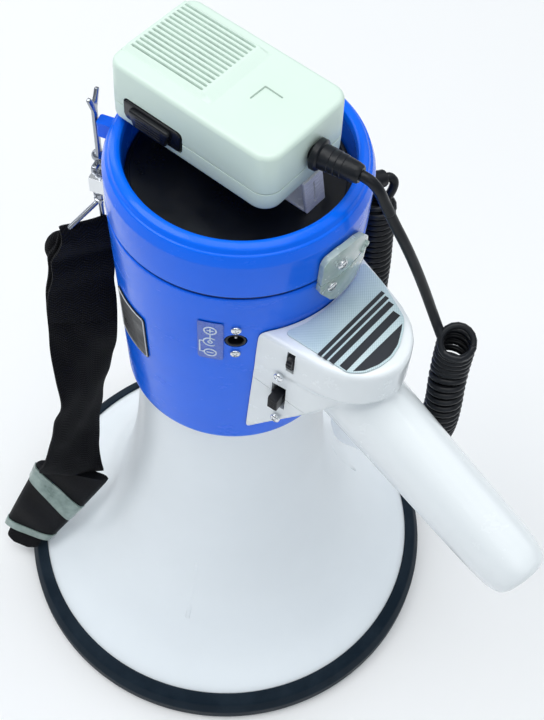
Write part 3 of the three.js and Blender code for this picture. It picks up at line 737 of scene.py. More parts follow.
def piece(name, geometry, material, replaced=None, body="housing", sharp=35.0,
          place=None, uvs=None):
    made = raw(name, geometry, material, place)
    if uvs is not None:
        layer = made.data.uv_layers.new(name="map")
        corners = np.zeros(len(made.data.loops), int)
        made.data.loops.foreach_get("vertex_index", corners)
        layer.data.foreach_set("uv", np.asarray(uvs, float)[corners].ravel())
    shade(made.data, sharp)
    return settle(made, replaced, body)


def relocate(made, place):
    """Move the vertices of a finished mesh."""
    flat = np.zeros(len(made.data.vertices) * 3)
    made.data.vertices.foreach_get("co", flat)
    flat = placed(flat.reshape(-1, 3) / MILLI, place) * MILLI
    made.data.vertices.foreach_set("co", flat.ravel())
    made.data.update()


def take(made):
    """Geometry in mm of a temporary object, which is removed."""
    verts = np.array([tuple(vert.co) for vert in made.data.vertices]) / MILLI
    faces = [list(face.vertices) for face in made.data.polygons]
    bpy.data.objects.remove(made)
    return verts, faces


def bake(made):
    """Apply all modifiers."""
    graph = bpy.context.evaluated_depsgraph_get()
    graph.update()
    mesh = bpy.data.meshes.new_from_object(made.evaluated_get(graph), depsgraph=graph)
    made.modifiers.clear()
    made.data = mesh


def carve(made, cutters):
    """Subtract each cutter, keeping the object's first material."""
    materials = [material for material in made.data.materials if material]
    for geometry in cutters:
        cutter = raw("cutter", geometry)
        cut = made.modifiers.new("b", "BOOLEAN")
        cut.operation = "DIFFERENCE"
        cut.object = cutter
        cut.solver = "EXACT"
        bpy.context.view_layer.update()
        bake(made)
        bpy.data.objects.remove(cutter)
    if materials:
        made.data.materials.clear()
        made.data.materials.append(materials[0])
        made.data.polygons.foreach_set("material_index", [0] * len(made.data.polygons))


def add_bevel(made, width, segments, angle):
    bevel = made.modifiers.new("bevel", "BEVEL")
    bevel.width = width * MILLI
    bevel.segments = segments
    bevel.limit_method = "ANGLE"
    bevel.angle_limit = rad(angle)


def dress(node, material, bevel):
    """A CAD node kept as it is, welded, with rounded edges and a material."""
    made = NODES[node]
    made.data.materials.clear()
    made.data.materials.append(material)
    weld = made.modifiers.new("weld", "WELD")
    weld.merge_threshold = 1e-6
    add_bevel(made, bevel, segments=3, angle=32)
    made.data.polygons.foreach_set("use_smooth", [False] * len(made.data.polygons))


def screw_head(name, origin, direction, radius, height, replaced, body="housing", spin=20):
    """Domed screw head with a cut cross recess."""
    brim = height * 0.25
    dome = [(radius * math.cos(a), brim + height * 0.75 * math.sin(a))
            for a in np.linspace(0.15, math.pi / 2, 7)[:-1]]
    profile = [(0, -0.4), (radius, -0.4), (radius, brim), *dome, (0, height)]
    made = raw(name, lathe(profile, 28), CHROME)
    bar = cuboid((radius * 1.25, radius * 0.26, height * 0.9), (0, 0, height * 0.95))
    carve(made, [bar, moved(bar, turn("Z", 90))])
    relocate(made, aim(origin, direction) @ turn("Z", spin))
    shade(made.data, 30)
    settle(made, replaced, body)


# =============================================================== horn
# (radius, z) of the outer face, from the housing down to the mouth
FLARE = [(44.2, 198), (44.6, 178), (45.8, 155), (48.0, 132), (51.4, 110), (55.8, 90), (60.6, 74),
         (66.8, 59), (74.2, 46), (82.6, 35), (92.0, 25.2), (105.9, 14.2), (109.0, 11.4)]
HORN_THICKNESS = 2.1
outside = curve(FLARE, 90)
slope = unit(np.gradient(outside, axis=0))
inside = (outside + np.stack([slope[:, 1], -slope[:, 0]], 1) * HORN_THICKNESS)[::-1]
profile = [(45.6, 203.6), (45.6, 201.9), (45.3, 201.6), (44.4, 201.6), (44.2, 201.4),
           *outside, *inside, (41.9, 203.6), (42.2, 204), (45.3, 204)]
piece("horn_bell_shell", lathe(profile, 192), WHITE, "horn_bell", sharp=40)

RIM = [(106.15, 14.4), (106.9, 15.2), (112.3, 12.2), (115.0, 7.2), (115.0, 0.9), (114.1, 0),
       (103.8, 0), (102.9, 0.9), (102.9, 11.2), (103.8, 11.9), (107.5, 9.2), (109.6, 11.2)]
RIM_RADII = [0.2, 0.6, 3.2, 3.2, 0.8, 0.6, 0.6, 0.6, 0.4, 0.4, 0, 0]
piece("rim_gasket_ring", lathe(rounded(RIM, RIM_RADII), 192), RUBBER,
      "rim_gasket", sharp=50)

outside = curve([(12.5, 204.1), (12.8, 150), (15.5, 100), (21.5, 50)], 40)
inside = curve([(19.3, 50), (13.2, 100), (10.4, 150), (9.5, 204.1)], 40)
piece("throat_tube_moulding", lathe([*outside, *inside], 64), WHITE,
      "throat_tube", sharp=50)

# cup facing the throat, held by three fins
CUP = [(0, 0), (24, 0), (33, 4), (40, 14), (42, 30), (40, 60), (36.5, 100), (34, 100),
       (37.6, 60), (39.4, 30), (37.6, 16), (31, 8), (22, 12), (0, 40)]
CUP_RADII = [0, 3, 6, 8, 10, 20, 0.8, 0.8, 20, 10, 6, 5, 8, 0]
FIN = [(38.9, 52), (60, 47.5), (78.0, 41.5), (71.0, 51.0), (64.6, 63.5), (59.6, 77.5), (38.0, 78)]
cup = lathe(rounded(CUP, CUP_RADII, closed=False), 96)
fin = prism(rounded(FIN, 0.6, steps=2), -1.2, 1.2, 0.5, 0.5, steps=2)
fins = [moved(fin, turn("Z", i * 120 + 60) @ turn("X", 90)) for i in range(3)]
piece("reflector_cup_moulding", merge(cup, *fins), WHITE, "reflector_cup",
      sharp=40)

for node, material in (
        ("driver_front_plate", BLACK), ("driver_top_plate", STEEL), ("driver_magnet", FERRITE),
        ("diaphragm", FILM), ("cover_contact_board", BOARD), ("battery_holder", BLACK),
        ("amplifier_board", BOARD), ("mic_capsule", STEEL), ("trigger_pin", STEEL)):
    dress(node, material, bevel=0.25)
for i in range(1, 9):
    dress(f"battery_cell_{i}", CELL, bevel=0.2)


# =============================================================== housing and rear cover
def bore(radius, azimuth, z):
    """Cutter through the housing wall."""
    start, stop = 38, 60
    return moved(lathe([(0, start), (radius, start), (radius, stop), (0, stop)], 40),
                 aim((0, 0, z), outward(azimuth)))


HOUSING_THICKNESS = 2.6
FOOT_BORE_R = 44.9
slant_wall = [(wall(z), z) for z in np.linspace(HOUSING_Z + 0.6, SEAM_Z - 1.6, 60)]
profile = [(FOOT_BORE_R, HOUSING_Z), (HOUSING_R - 0.6, HOUSING_Z),
           (HOUSING_R - 0.15, HOUSING_Z + 0.15), *slant_wall,
           (SEAM_R - 0.1, SEAM_Z - 0.95), (SEAM_R - 0.5, SEAM_Z - 0.5),
           (SEAM_R - HOUSING_THICKNESS, SEAM_Z - 0.5),
           (HOUSING_R - HOUSING_THICKNESS, HOUSING_Z + 3.1), (FOOT_BORE_R, HOUSING_Z + 3.1)]
housing = raw("housing_body_shell", lathe(profile, 224), BLUE)
carve(housing, [bore(4.6, JACK_AZ, JACK_Z), bore(6, 0, 240), bore(4.2, PLUG_AZ, PLUG_Z)])
shade(housing.data, 30, recalc=False)
settle(housing, "housing_body")

piece("cover_seal_ring", lathe(rounded(rect(49.9, 307.3, 51.5, 308.0), 0.15, steps=2), 160),
      BLACK, "cover_seal", sharp=60)

COVER = [(51.75, 308.4), (52.3, 308.95), (52.25, 326.3), (50.6, 331.0), (49.75, 331.35),
         (48.9, 333.2), (46.4, 334.4), (44.9, 333.6), (44.4, 331.4), (44.4, 317.3),
         (41.2, 317.3), (41.2, 315.2), (46.8, 315.2), (49.5, 312), (49.7, 308.4)]
COVER_RADII = [0.3, 0.3, 3.4, 1.2, 0.7, 1.6, 2.2, 0.9, 0.8, 0, 0, 0, 0, 0, 0]
piece("rear_cover_shell", lathe(rounded(COVER, COVER_RADII, steps=6), 224), BLUE,
      "rear_cover", "rear_cover", sharp=40)

# panel disc with a shallow groove near its edge
profile = [(0, 317.6), (44.05, 317.6), (44.05, 319.5), (43.75, PANEL_Z), (43.0, PANEL_Z),
           (42.6, 319.65), (42.1, 319.65), (41.8, PANEL_Z), (20, PANEL_Z), (0, PANEL_Z)]
piece("rear_panel_disc", lathe(profile, 160), PANEL, "rear_panel",
      "rear_cover", sharp=25)

# power jack: barrel, contact pin and two screws
jack_place = aim((0, 0, JACK_Z), outward(JACK_AZ))
barrel = lathe([(0.0, 42.5), (4.2, 42.5), (4.2, 50.9), (4.0, 51.2), (3.4, 51.2), (3.1, 50.8),
                (3.1, 44.6), (0.0, 44.6)], 48)
piece("dc_jack_barrel", barrel, BLACK, "dc_jack", sharp=30, place=jack_place)
pin = lathe([(0, 44.4), (0.9, 44.4), (0.9, 49.2), (0.5, 49.8), (0, 49.9)], 20)
piece("dc_jack_pin", pin, STEEL, place=jack_place)
for end, replaced, z, spin in (("top", "upper", JACK_Z + 8.4, 20),
                               ("bottom", "lower", JACK_Z - 8.4, 55)):
    screw_head(f"dc_jack_screw_{end}", polar(wall(z) + 0.4, JACK_AZ, z), outward(JACK_AZ),
               2.1, 1.25, f"dc_jack_screw_{replaced}", spin=spin)

# polarity label
POLARITY_AZ = -55
film = wall_patch(POLARITY_AZ, rounded(rect(-5.1, 265, 5.1, 291), 1.0, steps=4), 0.32, 0.55)
piece("polarity_label_film", film, STICKER, "polarity_label", sharp=50)


def arc(z, radius, angles):
    return [(radius * math.cos(a), z + radius * math.sin(a)) for a in angles]


TOP_SIGN, MIDDLE_SIGN, LOW_SIGN = 285.6, 277.6, 269.8
full_turn = np.linspace(0, 2 * math.pi, 24, endpoint=False)
# (points, closed)
STROKES = [
    (arc(TOP_SIGN, 2.4, full_turn), True),
    ([(-1.3, TOP_SIGN), (1.3, TOP_SIGN)], False),
    ([(0, 284.3), (0, 286.9)], False),
    (arc(MIDDLE_SIGN, 2.7, [rad(a) for a in np.linspace(50, 310, 14)]), False),
    (arc(MIDDLE_SIGN, 0.8, full_turn), True),
    (arc(LOW_SIGN, 2.4, full_turn), True),
    ([(-1.3, LOW_SIGN), (1.3, LOW_SIGN)], False),
    ([(0, 283.1), (0, 278.6)], False),
    ([(-2.7, MIDDLE_SIGN), (-4.2, MIDDLE_SIGN), (-4.2, LOW_SIGN), (-2.6, LOW_SIGN)], False)]
strokes = [wall_line(POLARITY_AZ, points, closed=closed) for points, closed in STROKES]
piece("polarity_symbols", merge(*strokes), PRINT)

# rating label with a raised border
RATING_AZ = -101.5
plate = wall_patch(RATING_AZ, rounded(rect(-10.5, 241.2, 10.5, 269.8), 1.2, steps=4), 0.32, 0.72)
piece("rating_label_plate", plate, PANEL, "rating_label", sharp=50)
border = rounded(rect(-9.9, 241.9, 9.9, 269.1), 0.9, steps=4)
dense = []
for start, stop in zip(border, np.roll(border, -1, 0)):
    count = max(1, int(np.linalg.norm(stop - start) / 1.5))
    dense += [start + (stop - start) * i / count for i in range(count)]
piece("rating_label_border", wall_line(RATING_AZ, dense, 0.35, 0.68, closed=True), STEEL)

# =============================================================== pistol grip
# (x, y) edge of the plate between housing and grip
PLATE = [(40, -30), (46.3, -28.2), (60, -25.4), (72, -22.6), (80, -19.2), (86, -14), (90, -7.6),
         (92, 0), (90, 7.6), (86, 14), (80, 19.2), (72, 22.6), (60, 25.4), (46.3, 28.2), (40, 30)]
PLATE_TOP = 285
GRIP_ROOT = np.array((72, 0, 248.6))
GRIP_END = np.array((170.5, 0, 217.6))
GRIP_RUN = GRIP_END - GRIP_ROOT
GRIP_LENGTH = float(np.linalg.norm(GRIP_RUN))
GRIP_SLOPE = math.atan2(-GRIP_RUN[2], GRIP_RUN[0])
# (share of the length, half thickness, half width)
GRIP_STATIONS = np.array([
    (-0.3, 15.5, 20.5), (0, 15.5, 20.5), (0.25, 15.2, 18.6), (0.45, 15.0, 17.4),
    (0.65, 14.6, 16.6), (0.85, 14.0, 16.2), (0.93, 13.4, 15.7), (0.975, 12.0, 14.4),
    (0.99, 10.8, 13.2), (1, 8.6, 11.4)])


def grip():
    """Tapered oval bar along the sloping grip axis."""
    shares, thickness, width = GRIP_STATIONS.T
    stops = np.unique(np.r_[np.linspace(-0.3, 1.0, 46), shares])
    sides = 48
    verts = []
    for t in stops:
        half_x = np.interp(t, shares, thickness)
        half_y = np.interp(t, shares, width)
        # the -Y side is flattened towards the end
        flat = 1 - 0.16 * min(1, max(0, (t - 0.82) / 0.18)) ** 1.5
        for j in range(sides):
            a = 2 * math.pi * j / sides
            squeeze = flat if math.sin(a) < 0 else 1
            verts.append((t * GRIP_LENGTH, half_x * math.cos(a),
                          half_y * math.sin(a) * squeeze))
    return verts, capped(len(stops), sides)


# the oval's first half axis lies along local Y of the sloping frame
grip_geometry = moved(grip(), shift(*GRIP_ROOT) @ turn("Y", math.degrees(GRIP_SLOPE)))
plate_outline = np.vstack([[(36, -30.3)],
                           rounded(PLATE, [0, 0] + [8] * 11 + [0, 0], steps=4),
                           [(36, 30.3)]])
low_outline = [(40 + (x - 40) * 0.84 if x > 40 else x, y) for x, y in plate_outline]
# the underside climbs from the housing to the root of the grip
wedge = moved(prism([(20, 170), (20, 181.6), (82.4, 264), (110, 264), (110, 170)],
                    -45, 45, 0, 0), turn("X", 90))
lower = raw("lower_stock", prism(low_outline, 203, 272, 0.5, 0.5, steps=2))
carve(lower, [wedge])
upper_geometry = prism(plate_outline, 264, PLATE_TOP, 1.6, 1.0)
stock = raw("grip_stock", merge(upper_geometry, take(lower), grip_geometry))
# fuse the three parts into one skin and soften their joints
remesh = stock.modifiers.new("r", "REMESH")
remesh.mode = "VOXEL"
remesh.voxel_size = 0.0008
remesh.adaptivity = 0.0
bake(stock)
smooth = stock.modifiers.new("s", "SMOOTH")
smooth.factor = 0.5
smooth.iterations = 44
bake(stock)
clearance = 0.45
cone_low, cone_high = wall(175) + clearance, wall(SEAM_Z) + clearance
carve(stock, [lathe([(0, 175), (cone_low, 175), (cone_high, SEAM_Z), (cone_high, 325),
                     (0, 325)], 192)])

# frame of the controls on the -Y side of the grip
SIDE = shift(53.4, -26.6, 0) @ turn("Z", 11.3)
switch_cuts = [moved(cuboid((6.6, 10.4, 16), (0, -0.9, 246.9)), SIDE),
               moved(cuboid((8.9, 5.2, 24.8), (0, 6.5, 247.2)), SIDE)]
wheel_cut = moved(cuboid((3.6, 12, 13.0), (4.4, 0, 276.2)), SIDE)
trigger_cut = cuboid((41, 11.6, 34.5), (83, 0, 217.0))


def grip_half(name, keep_above, gap, cutters, replaced):
    """One side of the stock, split along the grip axis."""
    mesh = stock.data.copy()
    made = bpy.data.objects.new(name, mesh)
    bpy.context.scene.collection.objects.link(made)
    work = bmesh.new()
    work.from_mesh(mesh)
    normal = Vector((math.sin(GRIP_SLOPE), 0, math.cos(GRIP_SLOPE)))
    base = Vector(((GRIP_ROOT[0] - 30) * MILLI, 0, (GRIP_ROOT[2] + 9.4 - 6.3) * MILLI))
    bmesh.ops.bisect_plane(work, geom=work.verts[:] + work.edges[:] + work.faces[:],
                           plane_co=base - normal * gap * MILLI, plane_no=normal,
                           clear_inner=keep_above, clear_outer=not keep_above)
    rim = [edge for edge in work.edges if len(edge.link_faces) == 1]
    bmesh.ops.holes_fill(work, edges=rim, sides=0)
    work.to_mesh(mesh)
    work.free()
    mesh.materials.clear()
    mesh.materials.append(HANDLE)
    carve(made, switch_cuts + [cutters])
    shade(made.data, 42, recalc=False)
    settle(made, replaced)


grip_half("handle_rear_half", True, 0.0, wheel_cut, "handle_rear_shell")
grip_half("handle_front_half", False, 0.35, trigger_cut, "handle_front_shell")
bpy.data.objects.remove(stock)

# nameplate: printed film with black bars
NAMEPLATE = [(49.7, -22.2), (78, -17.6), (79.9, -16.8), (83.8, -12.6), (85.8, -6.4), (86.2, 0),
             (84.5, 6.4), (80.8, 12.7), (76.7, 17.6), (70.5, 20), (59.4, 24.0), (46.8, 25.8),
             (50.6, 17), (52.6, 7), (53.1, -3), (52.4, -13)]
NAMEPLATE_RADII = [1.5, 6, 6, 8, 10, 12, 10, 8, 6, 8, 12, 1.2, 10, 16, 16, 10]
piece("nameplate_film",
      prism(rounded(NAMEPLATE, NAMEPLATE_RADII, steps=4), PLATE_TOP + 0.15, PLATE_TOP + 0.62,
            0.15, 0, steps=2), LABEL, "nameplate", sharp=40)
# (start, stop, width)
BARS = [((66.5, -19.9), (62.8, 20.4), 1.7), ((69.0, -19.5), (65.5, 19.8), 1.8),
        ((71.9, -18.8), (68.6, 18.9), 2.5), ((76.8, -17.4), (73.4, 16.8), 3.4)]
outlines = []
for start, stop, width in BARS:
    start, stop = np.array(start), np.array(stop)
    run = unit(stop - start)
    side = np.array((run[1], -run[0])) * width / 2
    outlines.append([start - side, start + side, stop + side, stop - side])
BOW = [(80.3, -15.6), (83.0, -12.2), (84.9, -6.2), (85.3, 0), (83.7, 6.1), (80.2, 12.0),
       (78.2, 14.8)]
outlines.append(rounded(BOW, [0, 4, 6, 8, 8, 4, 0], steps=4))
bars = [prism(outline, PLATE_TOP + 0.64, PLATE_TOP + 0.72, 0, 0) for outline in outlines]
piece("nameplate_bars", merge(*bars), INK, sharp=30)

# =============================================================== trigger, switch, wheel
# (x, z) side view
TRIGGER = [(65.4, 222.5), (66.2, 216.5), (68.6, 210.6), (72.0, 208.2), (76.0, 209.6), (82, 214.0),
           (90, 217.6), (98, 220.2), (101.0, 222.6), (101.2, 226.2), (98.6, 228.6), (92, 229.4),
           (80, 229.6), (66.4, 229.6)]
TRIGGER_RADII = [4, 4, 3, 2, 4, 8, 10, 4, 2, 2, 3, 6, 6, 1.5]
piece("trigger_lever_cap",
      prism(rounded(TRIGGER, TRIGGER_RADII, steps=4), -5.2, 5.2, 1.2, 1.2),
      WHITE, "trigger", "trigger_lever", sharp=40, place=turn("X", 90))

dress("mode_switch_body", BLACK, bevel=0.2)
RIB_PITCH = 1.35
ribs = [soft_box((4.2, 0.8, 0.75), (0, -4.1, 243.9 + RIB_PITCH * i), edge=0.2, steps=2)
        for i in range(5)]
knob = merge(soft_box((4.6, 8.2, 7.6), (0, -0.1, 246.6), edge=0.45, corner=0.5), *ribs)
piece("mode_switch_slider", knob, SWITCH, "mode_switch_knob", "mode_knob",
      sharp=40, place=SIDE)
for end, replaced, z, spin in (("top", "upper", 263.6, 10), ("bottom", "lower", 231.6, 40)):
    screw_head(f"mode_switch_screw_{end}", placed((0.3, -1.05, z), SIDE),
               SIDE[:3, :3] @ (0, -1.0, 0), 2.2, 1.3, f"mode_switch_screw_{replaced}",
               spin=spin)

# serrated volume wheel
TEETH, WHEEL_R, TOOTH_DEPTH = 40, 5.9, 0.32
outline = []
for i in range(TEETH):
    radius = WHEEL_R - (TOOTH_DEPTH if i % 2 else 0)
    a = 2 * math.pi * i / TEETH
    outline.append((radius * math.cos(a), radius * math.sin(a)))
wheel = prism(outline, -1.3, 1.3, 0.3, 0.3, steps=2)
piece("volume_dial", wheel, SWITCH, "volume_wheel", "volume_knob", sharp=25,
      place=SIDE @ shift(4.4, 3.9, 276.2) @ turn("Y", 90))

# =============================================================== clear hinge
HINGE_AZ = 6


def hinge_leaf(name, outline, radii, body, replaced):
    made = raw(name, wall_patch(HINGE_AZ, rounded(outline, radii), 0.25, 2.9), CLEAR)
    add_bevel(made, 0.75, segments=4, angle=40)
    bake(made)
    shade(made.data, 50)
    settle(made, replaced, body)


hinge_leaf("hinge_leaf_lower",
           [(-14.1, 307.1), (-14.1, 303.4), (-7.6, 293.4), (-4.4, 291.2), (7.0, 291.8),
            (12.6, 297.0), (13.8, 307.1)],
           [0.4, 3, 4, 3, 4, 4, 0.4], "housing", "hinge_leaf_body")
hinge_leaf("hinge_leaf_upper",
           [(-14.1, 307.9), (13.8, 307.9), (12.4, 313.0), (8.6, 318.4), (2.6, 322.4),
            (-7.0, 323.6), (-12.6, 322.4), (-14.1, 319.4)],
           [0.4, 0.4, 4, 5, 6, 6, 3, 2], "rear_cover", "hinge_leaf_cover")
knuckle = soft_box((3.6, 2.6, 1.6), steps=2)
knuckles = [moved(knuckle, turn("Z", HINGE_AZ + offset) @ shift(54.6, 0, 309.6))
            for offset in (9.0, 12.4)]
piece("hinge_knuckles", merge(*knuckles), CLEAR, body="rear_cover", sharp=45)
for end, azimuth, z, body, replaced in (("top", 0.4, 314.3, "rear_cover", "cover"),
                                        ("low", -3.6, 303.6, "housing", "body")):
    screw_head(f"hinge_screw_{end}", polar(wall(z) + 3.2, azimuth, z), outward(azimuth),
               2.3, 1.2, f"hinge_screw_{replaced}", body, spin=33)

# =============================================================== latch, lug, hook, ring
dress("latch_nub", BLUE, bevel=0.5)
dress("strap_lug", CHROME, bevel=0.5)

# forked lever with a ball and a foot; fork outline is (arc, z)
LATCH_AZ = 205
FORK = [(-2.0, 297.6), (2.0, 297.6), (2.3, 303), (1.5, 308), (1.5, 329), (4.6, 337.2),
        (2.9, 338.0), (0, 332.6), (-2.9, 338.0), (-4.6, 337.2), (-1.5, 329), (-1.5, 308),
        (-2.3, 303)]
FORK_RADII = [0.6, 0.6, 2, 3, 3, 0.6, 0.6, 1.2, 0.6, 0.6, 3, 3, 2]
flat_to_wall = np.array([[0, 0, 1, 0], [1, 0, 0, 0], [0, 1, 0, 0], [0, 0, 0, 1.0]])
fork = moved(prism(rounded(FORK, FORK_RADII, steps=3), 59.5, 61.1, 0.45, 0.45, steps=3),
             turn("Z", LATCH_AZ) @ flat_to_wall)
BALL_R = 2.7
ball = lathe([(0, -BALL_R), *[(BALL_R * math.cos(a), BALL_R * math.sin(a))
                              for a in np.linspace(-1.35, 1.35, 11)], (0, BALL_R)], 24)
ball = moved(ball, shift(*polar(60.9, LATCH_AZ, 303.2)))
foot = moved(soft_box((3.0, 9.6, 4.8), edge=0.8), turn("Z", LATCH_AZ) @ shift(60.9, 0, 297.8))
piece("latch_lever_fork", merge(fork, ball, foot), DARK_CHROME, "latch_lever",
      "cover_latch", sharp=38)

# snap hook: bent wire, swivel barrel and a coil of three turns
hook = tube(curve([polar(57.4, 205, 292.0), polar(60.6, 205, 292.4), polar(61.4, 205.6, 289.5),
                   polar(60.9, 206.3, 286.5)], 40), 1.4, 14)
swivel = lathe([(0, -3), (2.2, -3), (2.9, -2.5), (2.9, -1.2), (2.3, -0.9), (2.3, 0.3),
                (2.9, 0.6), (2.9, 2.2), (2.2, 3.0), (0, 3.0)], 28)
swivel = moved(swivel, shift(*polar(60.9, 206.4, 280.6)))
COIL_R, COIL_HEIGHT, COIL_SWEEP = 2.4, 4.4, 3 * 2 * math.pi
coil = [polar(60.9, 206.4, 285.0) + (COIL_R * math.cos(a), COIL_R * math.sin(a),
                                     (a / COIL_SWEEP - 0.5) * COIL_HEIGHT)
        for a in np.linspace(0, COIL_SWEEP, 70)]
piece("snap_hook_swivel", merge(hook, swivel, tube(coil, 0.62, 8)), DARK_CHROME,
      "snap_hook", sharp=40)

# triangular wire ring, sampled about every mm
RING = np.array([(-54.9, -27.2, 277.6), (-58.8, -45.6, 265.8), (-55.4, -26.4, 262.6)])
RING_BEND = 2.2
wire = []
for before, corner, after in zip(np.roll(RING, 1, 0), RING, np.roll(RING, -1, 0)):
    start, stop = [corner + unit(side) * min(RING_BEND, np.linalg.norm(side) * 0.45)
                   for side in (before - corner, after - corner)]
    wire += [(1 - t) ** 2 * start + 2 * t * (1 - t) * corner + t * t * stop
             for t in np.linspace(0, 1, 7)]
wire = np.array(wire + [wire[0]])
stations = lengths(wire)
wire = sample(wire, stations, np.linspace(0, stations[-1], int(stations[-1]))[:-1])
piece("strap_ring_wire", tube(wire, 1.1, closed=True), DARK_CHROME,
      "strap_ring")

# =============================================================== strap
# the webbing hangs from the ring, twists on its way down and flattens again into the pad
# (x, y, z, width, twist in degrees)
STRAP = np.array([
    (-57.2, -35.2, 263.0, 23, 27), (-57.6, -36.0, 257.0, 25, 27), (-60.4, -37.6, 247.5, 29, 26),
    (-58.8, -38.6, 240.1, 29, 24), (-59.1, -40.4, 227.2, 31, 20), (-57.0, -42.4, 216.2, 32.5, 8),
    (-54.4, -45.6, 197.2, 32, 6), (-53.4, -48.3, 176.6, 32, 34), (-51.8, -51.3, 158.0, 32, 52),
    (-53.2, -55.2, 139.3, 32, 46), (-55.7, -60.0, 113.0, 32, 43), (-55.0, -64.2, 96.9, 32.5, 32),
    (-55.6, -65.6, 86.0, 34, 12), (-57.4, -63.9, 76.5, 34, 2)])
STRAP_ROWS = 150
STRAP_HEADING = 45.6


def strap_values(column):
    """A column of the table, interpolated to the rows and averaged over 13 of them."""
    stations = lengths(STRAP[:, :3])
    values = np.interp(np.linspace(0, stations[-1], STRAP_ROWS), stations, column)
    return np.convolve(np.pad(values, 6, mode="edge"), np.ones(13) / 13, "valid")


def slack(across, along):
    """Shallow ripples in the hanging cloth."""
    return (0.5 * np.sin(along / 9.0 + across * 0.22)
            + 0.35 * np.sin(along / 4.1 - across * 0.35))


strap_path = curve(STRAP[:, :3], STRAP_ROWS)
strap_width = strap_values(STRAP[:, 3])
heading = np.radians(STRAP_HEADING + strap_values(STRAP[:, 4]))
strap_along = unit(np.gradient(strap_path, axis=0))
strap_across = np.stack([np.cos(heading), np.sin(heading), np.zeros(STRAP_ROWS)], 1)
strap_across -= strap_along * (strap_across * strap_along).sum(1, keepdims=True)
strap_across = unit(strap_across)
cloth, uvs = ribbon(strap_path, strap_across, strap_width, 2.1, 18, crown=1.3, ripple=slack)
piece("strap_webbing_main", cloth, WEBBING, "strap_webbing", sharp=60,
      uvs=uvs)

# the end turned over the ring and laid back on the strap: rows 45 to 2, then over the top
strap_normal = np.cross(strap_along, strap_across)
back = slice(45, 1, -1)
top = strap_path[1] + (0, 0, 2.6)
fold_path = curve([*(strap_path + strap_normal * 3.6)[back],
                   top + strap_normal[1] * 2.6 + (0, 0, 1.2), top + (0, 0, 2.6),
                   top - strap_normal[1] * 1.6 + (0, 0, 0.8)], 70)
fold_across = unit(curve([*strap_across[back], *[strap_across[1]] * 3], 70))
fold_width = [*(strap_width - 1.0)[back], 22, 21.5, 21.5]
fold_width = np.interp(np.linspace(0, 1, 70), np.linspace(0, 1, len(fold_width)), fold_width)
cloth, uvs = ribbon(fold_path, fold_across, fold_width, 1.9, 16, crown=0.6)
piece("strap_webbing_fold", cloth, WEBBING, sharp=60, uvs=uvs)

# rolled selvedge beside the fold
ROLL_ROWS, ROLL_SIDES = 36, 20
roll_path = curve([(-63.0, -41.0, 258.5), (-66.6, -44.2, 254.0), (-68.2, -45.6, 247.0),
                   (-66.8, -44.4, 239.5), (-64.0, -43.0, 233.0)], ROLL_ROWS)
roll_radii = 3.9 * np.sin(np.linspace(0.25, math.pi - 0.2, ROLL_ROWS)) ** 0.55
roll = tube(roll_path, roll_radii, ROLL_SIDES)
uvs = np.zeros((len(roll[0]), 2))
skin = ROLL_ROWS * ROLL_SIDES
uvs[:skin, 0] = np.tile(np.arange(ROLL_SIDES) * 1.3, ROLL_ROWS)
uvs[:skin, 1] = np.repeat(np.arange(ROLL_ROWS) * 0.9, ROLL_SIDES)
piece("strap_webbing_roll", roll, WEBBING, sharp=60, uvs=uvs)

# shoulder pad: crowned sleeve with satin bindings
PAD_ROWS = 60
PAD_THICKNESS = 4.2
pad_path = curve([polar(85.5, 228.2, 78), polar(93.5, 229.6, 62.5), polar(104, 231.5, 45),
                  polar(116.5, 233, 23.5)], PAD_ROWS)
pad_across = unit(curve([outward(azimuth) for azimuth in (212, 211, 207, 203)], PAD_ROWS))
pad_width = curve([[40.5], [41], [40], [29]], PAD_ROWS)[:, 0]
pad_normal = unit(np.cross(unit(np.gradient(pad_path, axis=0)), pad_across))


def pad_shell(start, stop, rows, lift=0.0, grow=1.0, slant=0.0):
    """Sleeve over a share of the pad, `lift` mm above it and `grow` times as wide."""
    columns = 28
    ring = np.r_[np.linspace(-1, 1, columns), np.linspace(1, -1, columns)[1:-1]]
    side = np.tile(np.r_[np.ones(columns), -np.ones(columns - 2)], rows)
    along = (start + (stop - start) * np.linspace(0, 1, rows))[:, None] + slant * (ring + 1) / 2
    along, across = along.ravel(), np.tile(ring, rows)
    stations, at = np.arange(PAD_ROWS), along * (PAD_ROWS - 1)
    thick = PAD_THICKNESS * (1 - np.abs(across) ** 3.2) ** 0.5
    thick *= 0.8 + 0.2 * np.sin(math.pi * along)
    thick += 0.25 * np.sin(along * 19 + across * 3) * (1 - across * across)
    half = across * np.interp(at, stations, pad_width) / 2
    near = np.rint(at).astype(int)
    extra = across * (grow - 1) * pad_width[near] / 2
    verts = (sample(pad_path, stations, at)
             + sample(pad_across, stations, at) * half[:, None]
             + sample(pad_normal, stations, at) * (side * (thick + lift))[:, None]
             + pad_across[near] * extra[:, None])
    uvs = np.stack([across * 20, along * 60], 1)
    return (verts, capped(rows, len(ring))), uvs


sleeve, uvs = pad_shell(0.0, 1.0, rows=36)
piece("strap_pad_sleeve", sleeve, VINYL, "strap_pad", sharp=50, uvs=uvs)
binding, uvs = pad_shell(0.44, 0.64, rows=14, lift=0.75, grow=1.035, slant=-0.40)
piece("strap_pad_binding_upper", binding, SATIN, "strap_pad_band", sharp=50,
      uvs=uvs)
binding, uvs = pad_shell(0.90, 0.985, rows=7, lift=0.7, grow=1.04)
piece("strap_pad_binding_lower", binding, SATIN, sharp=50, uvs=uvs)

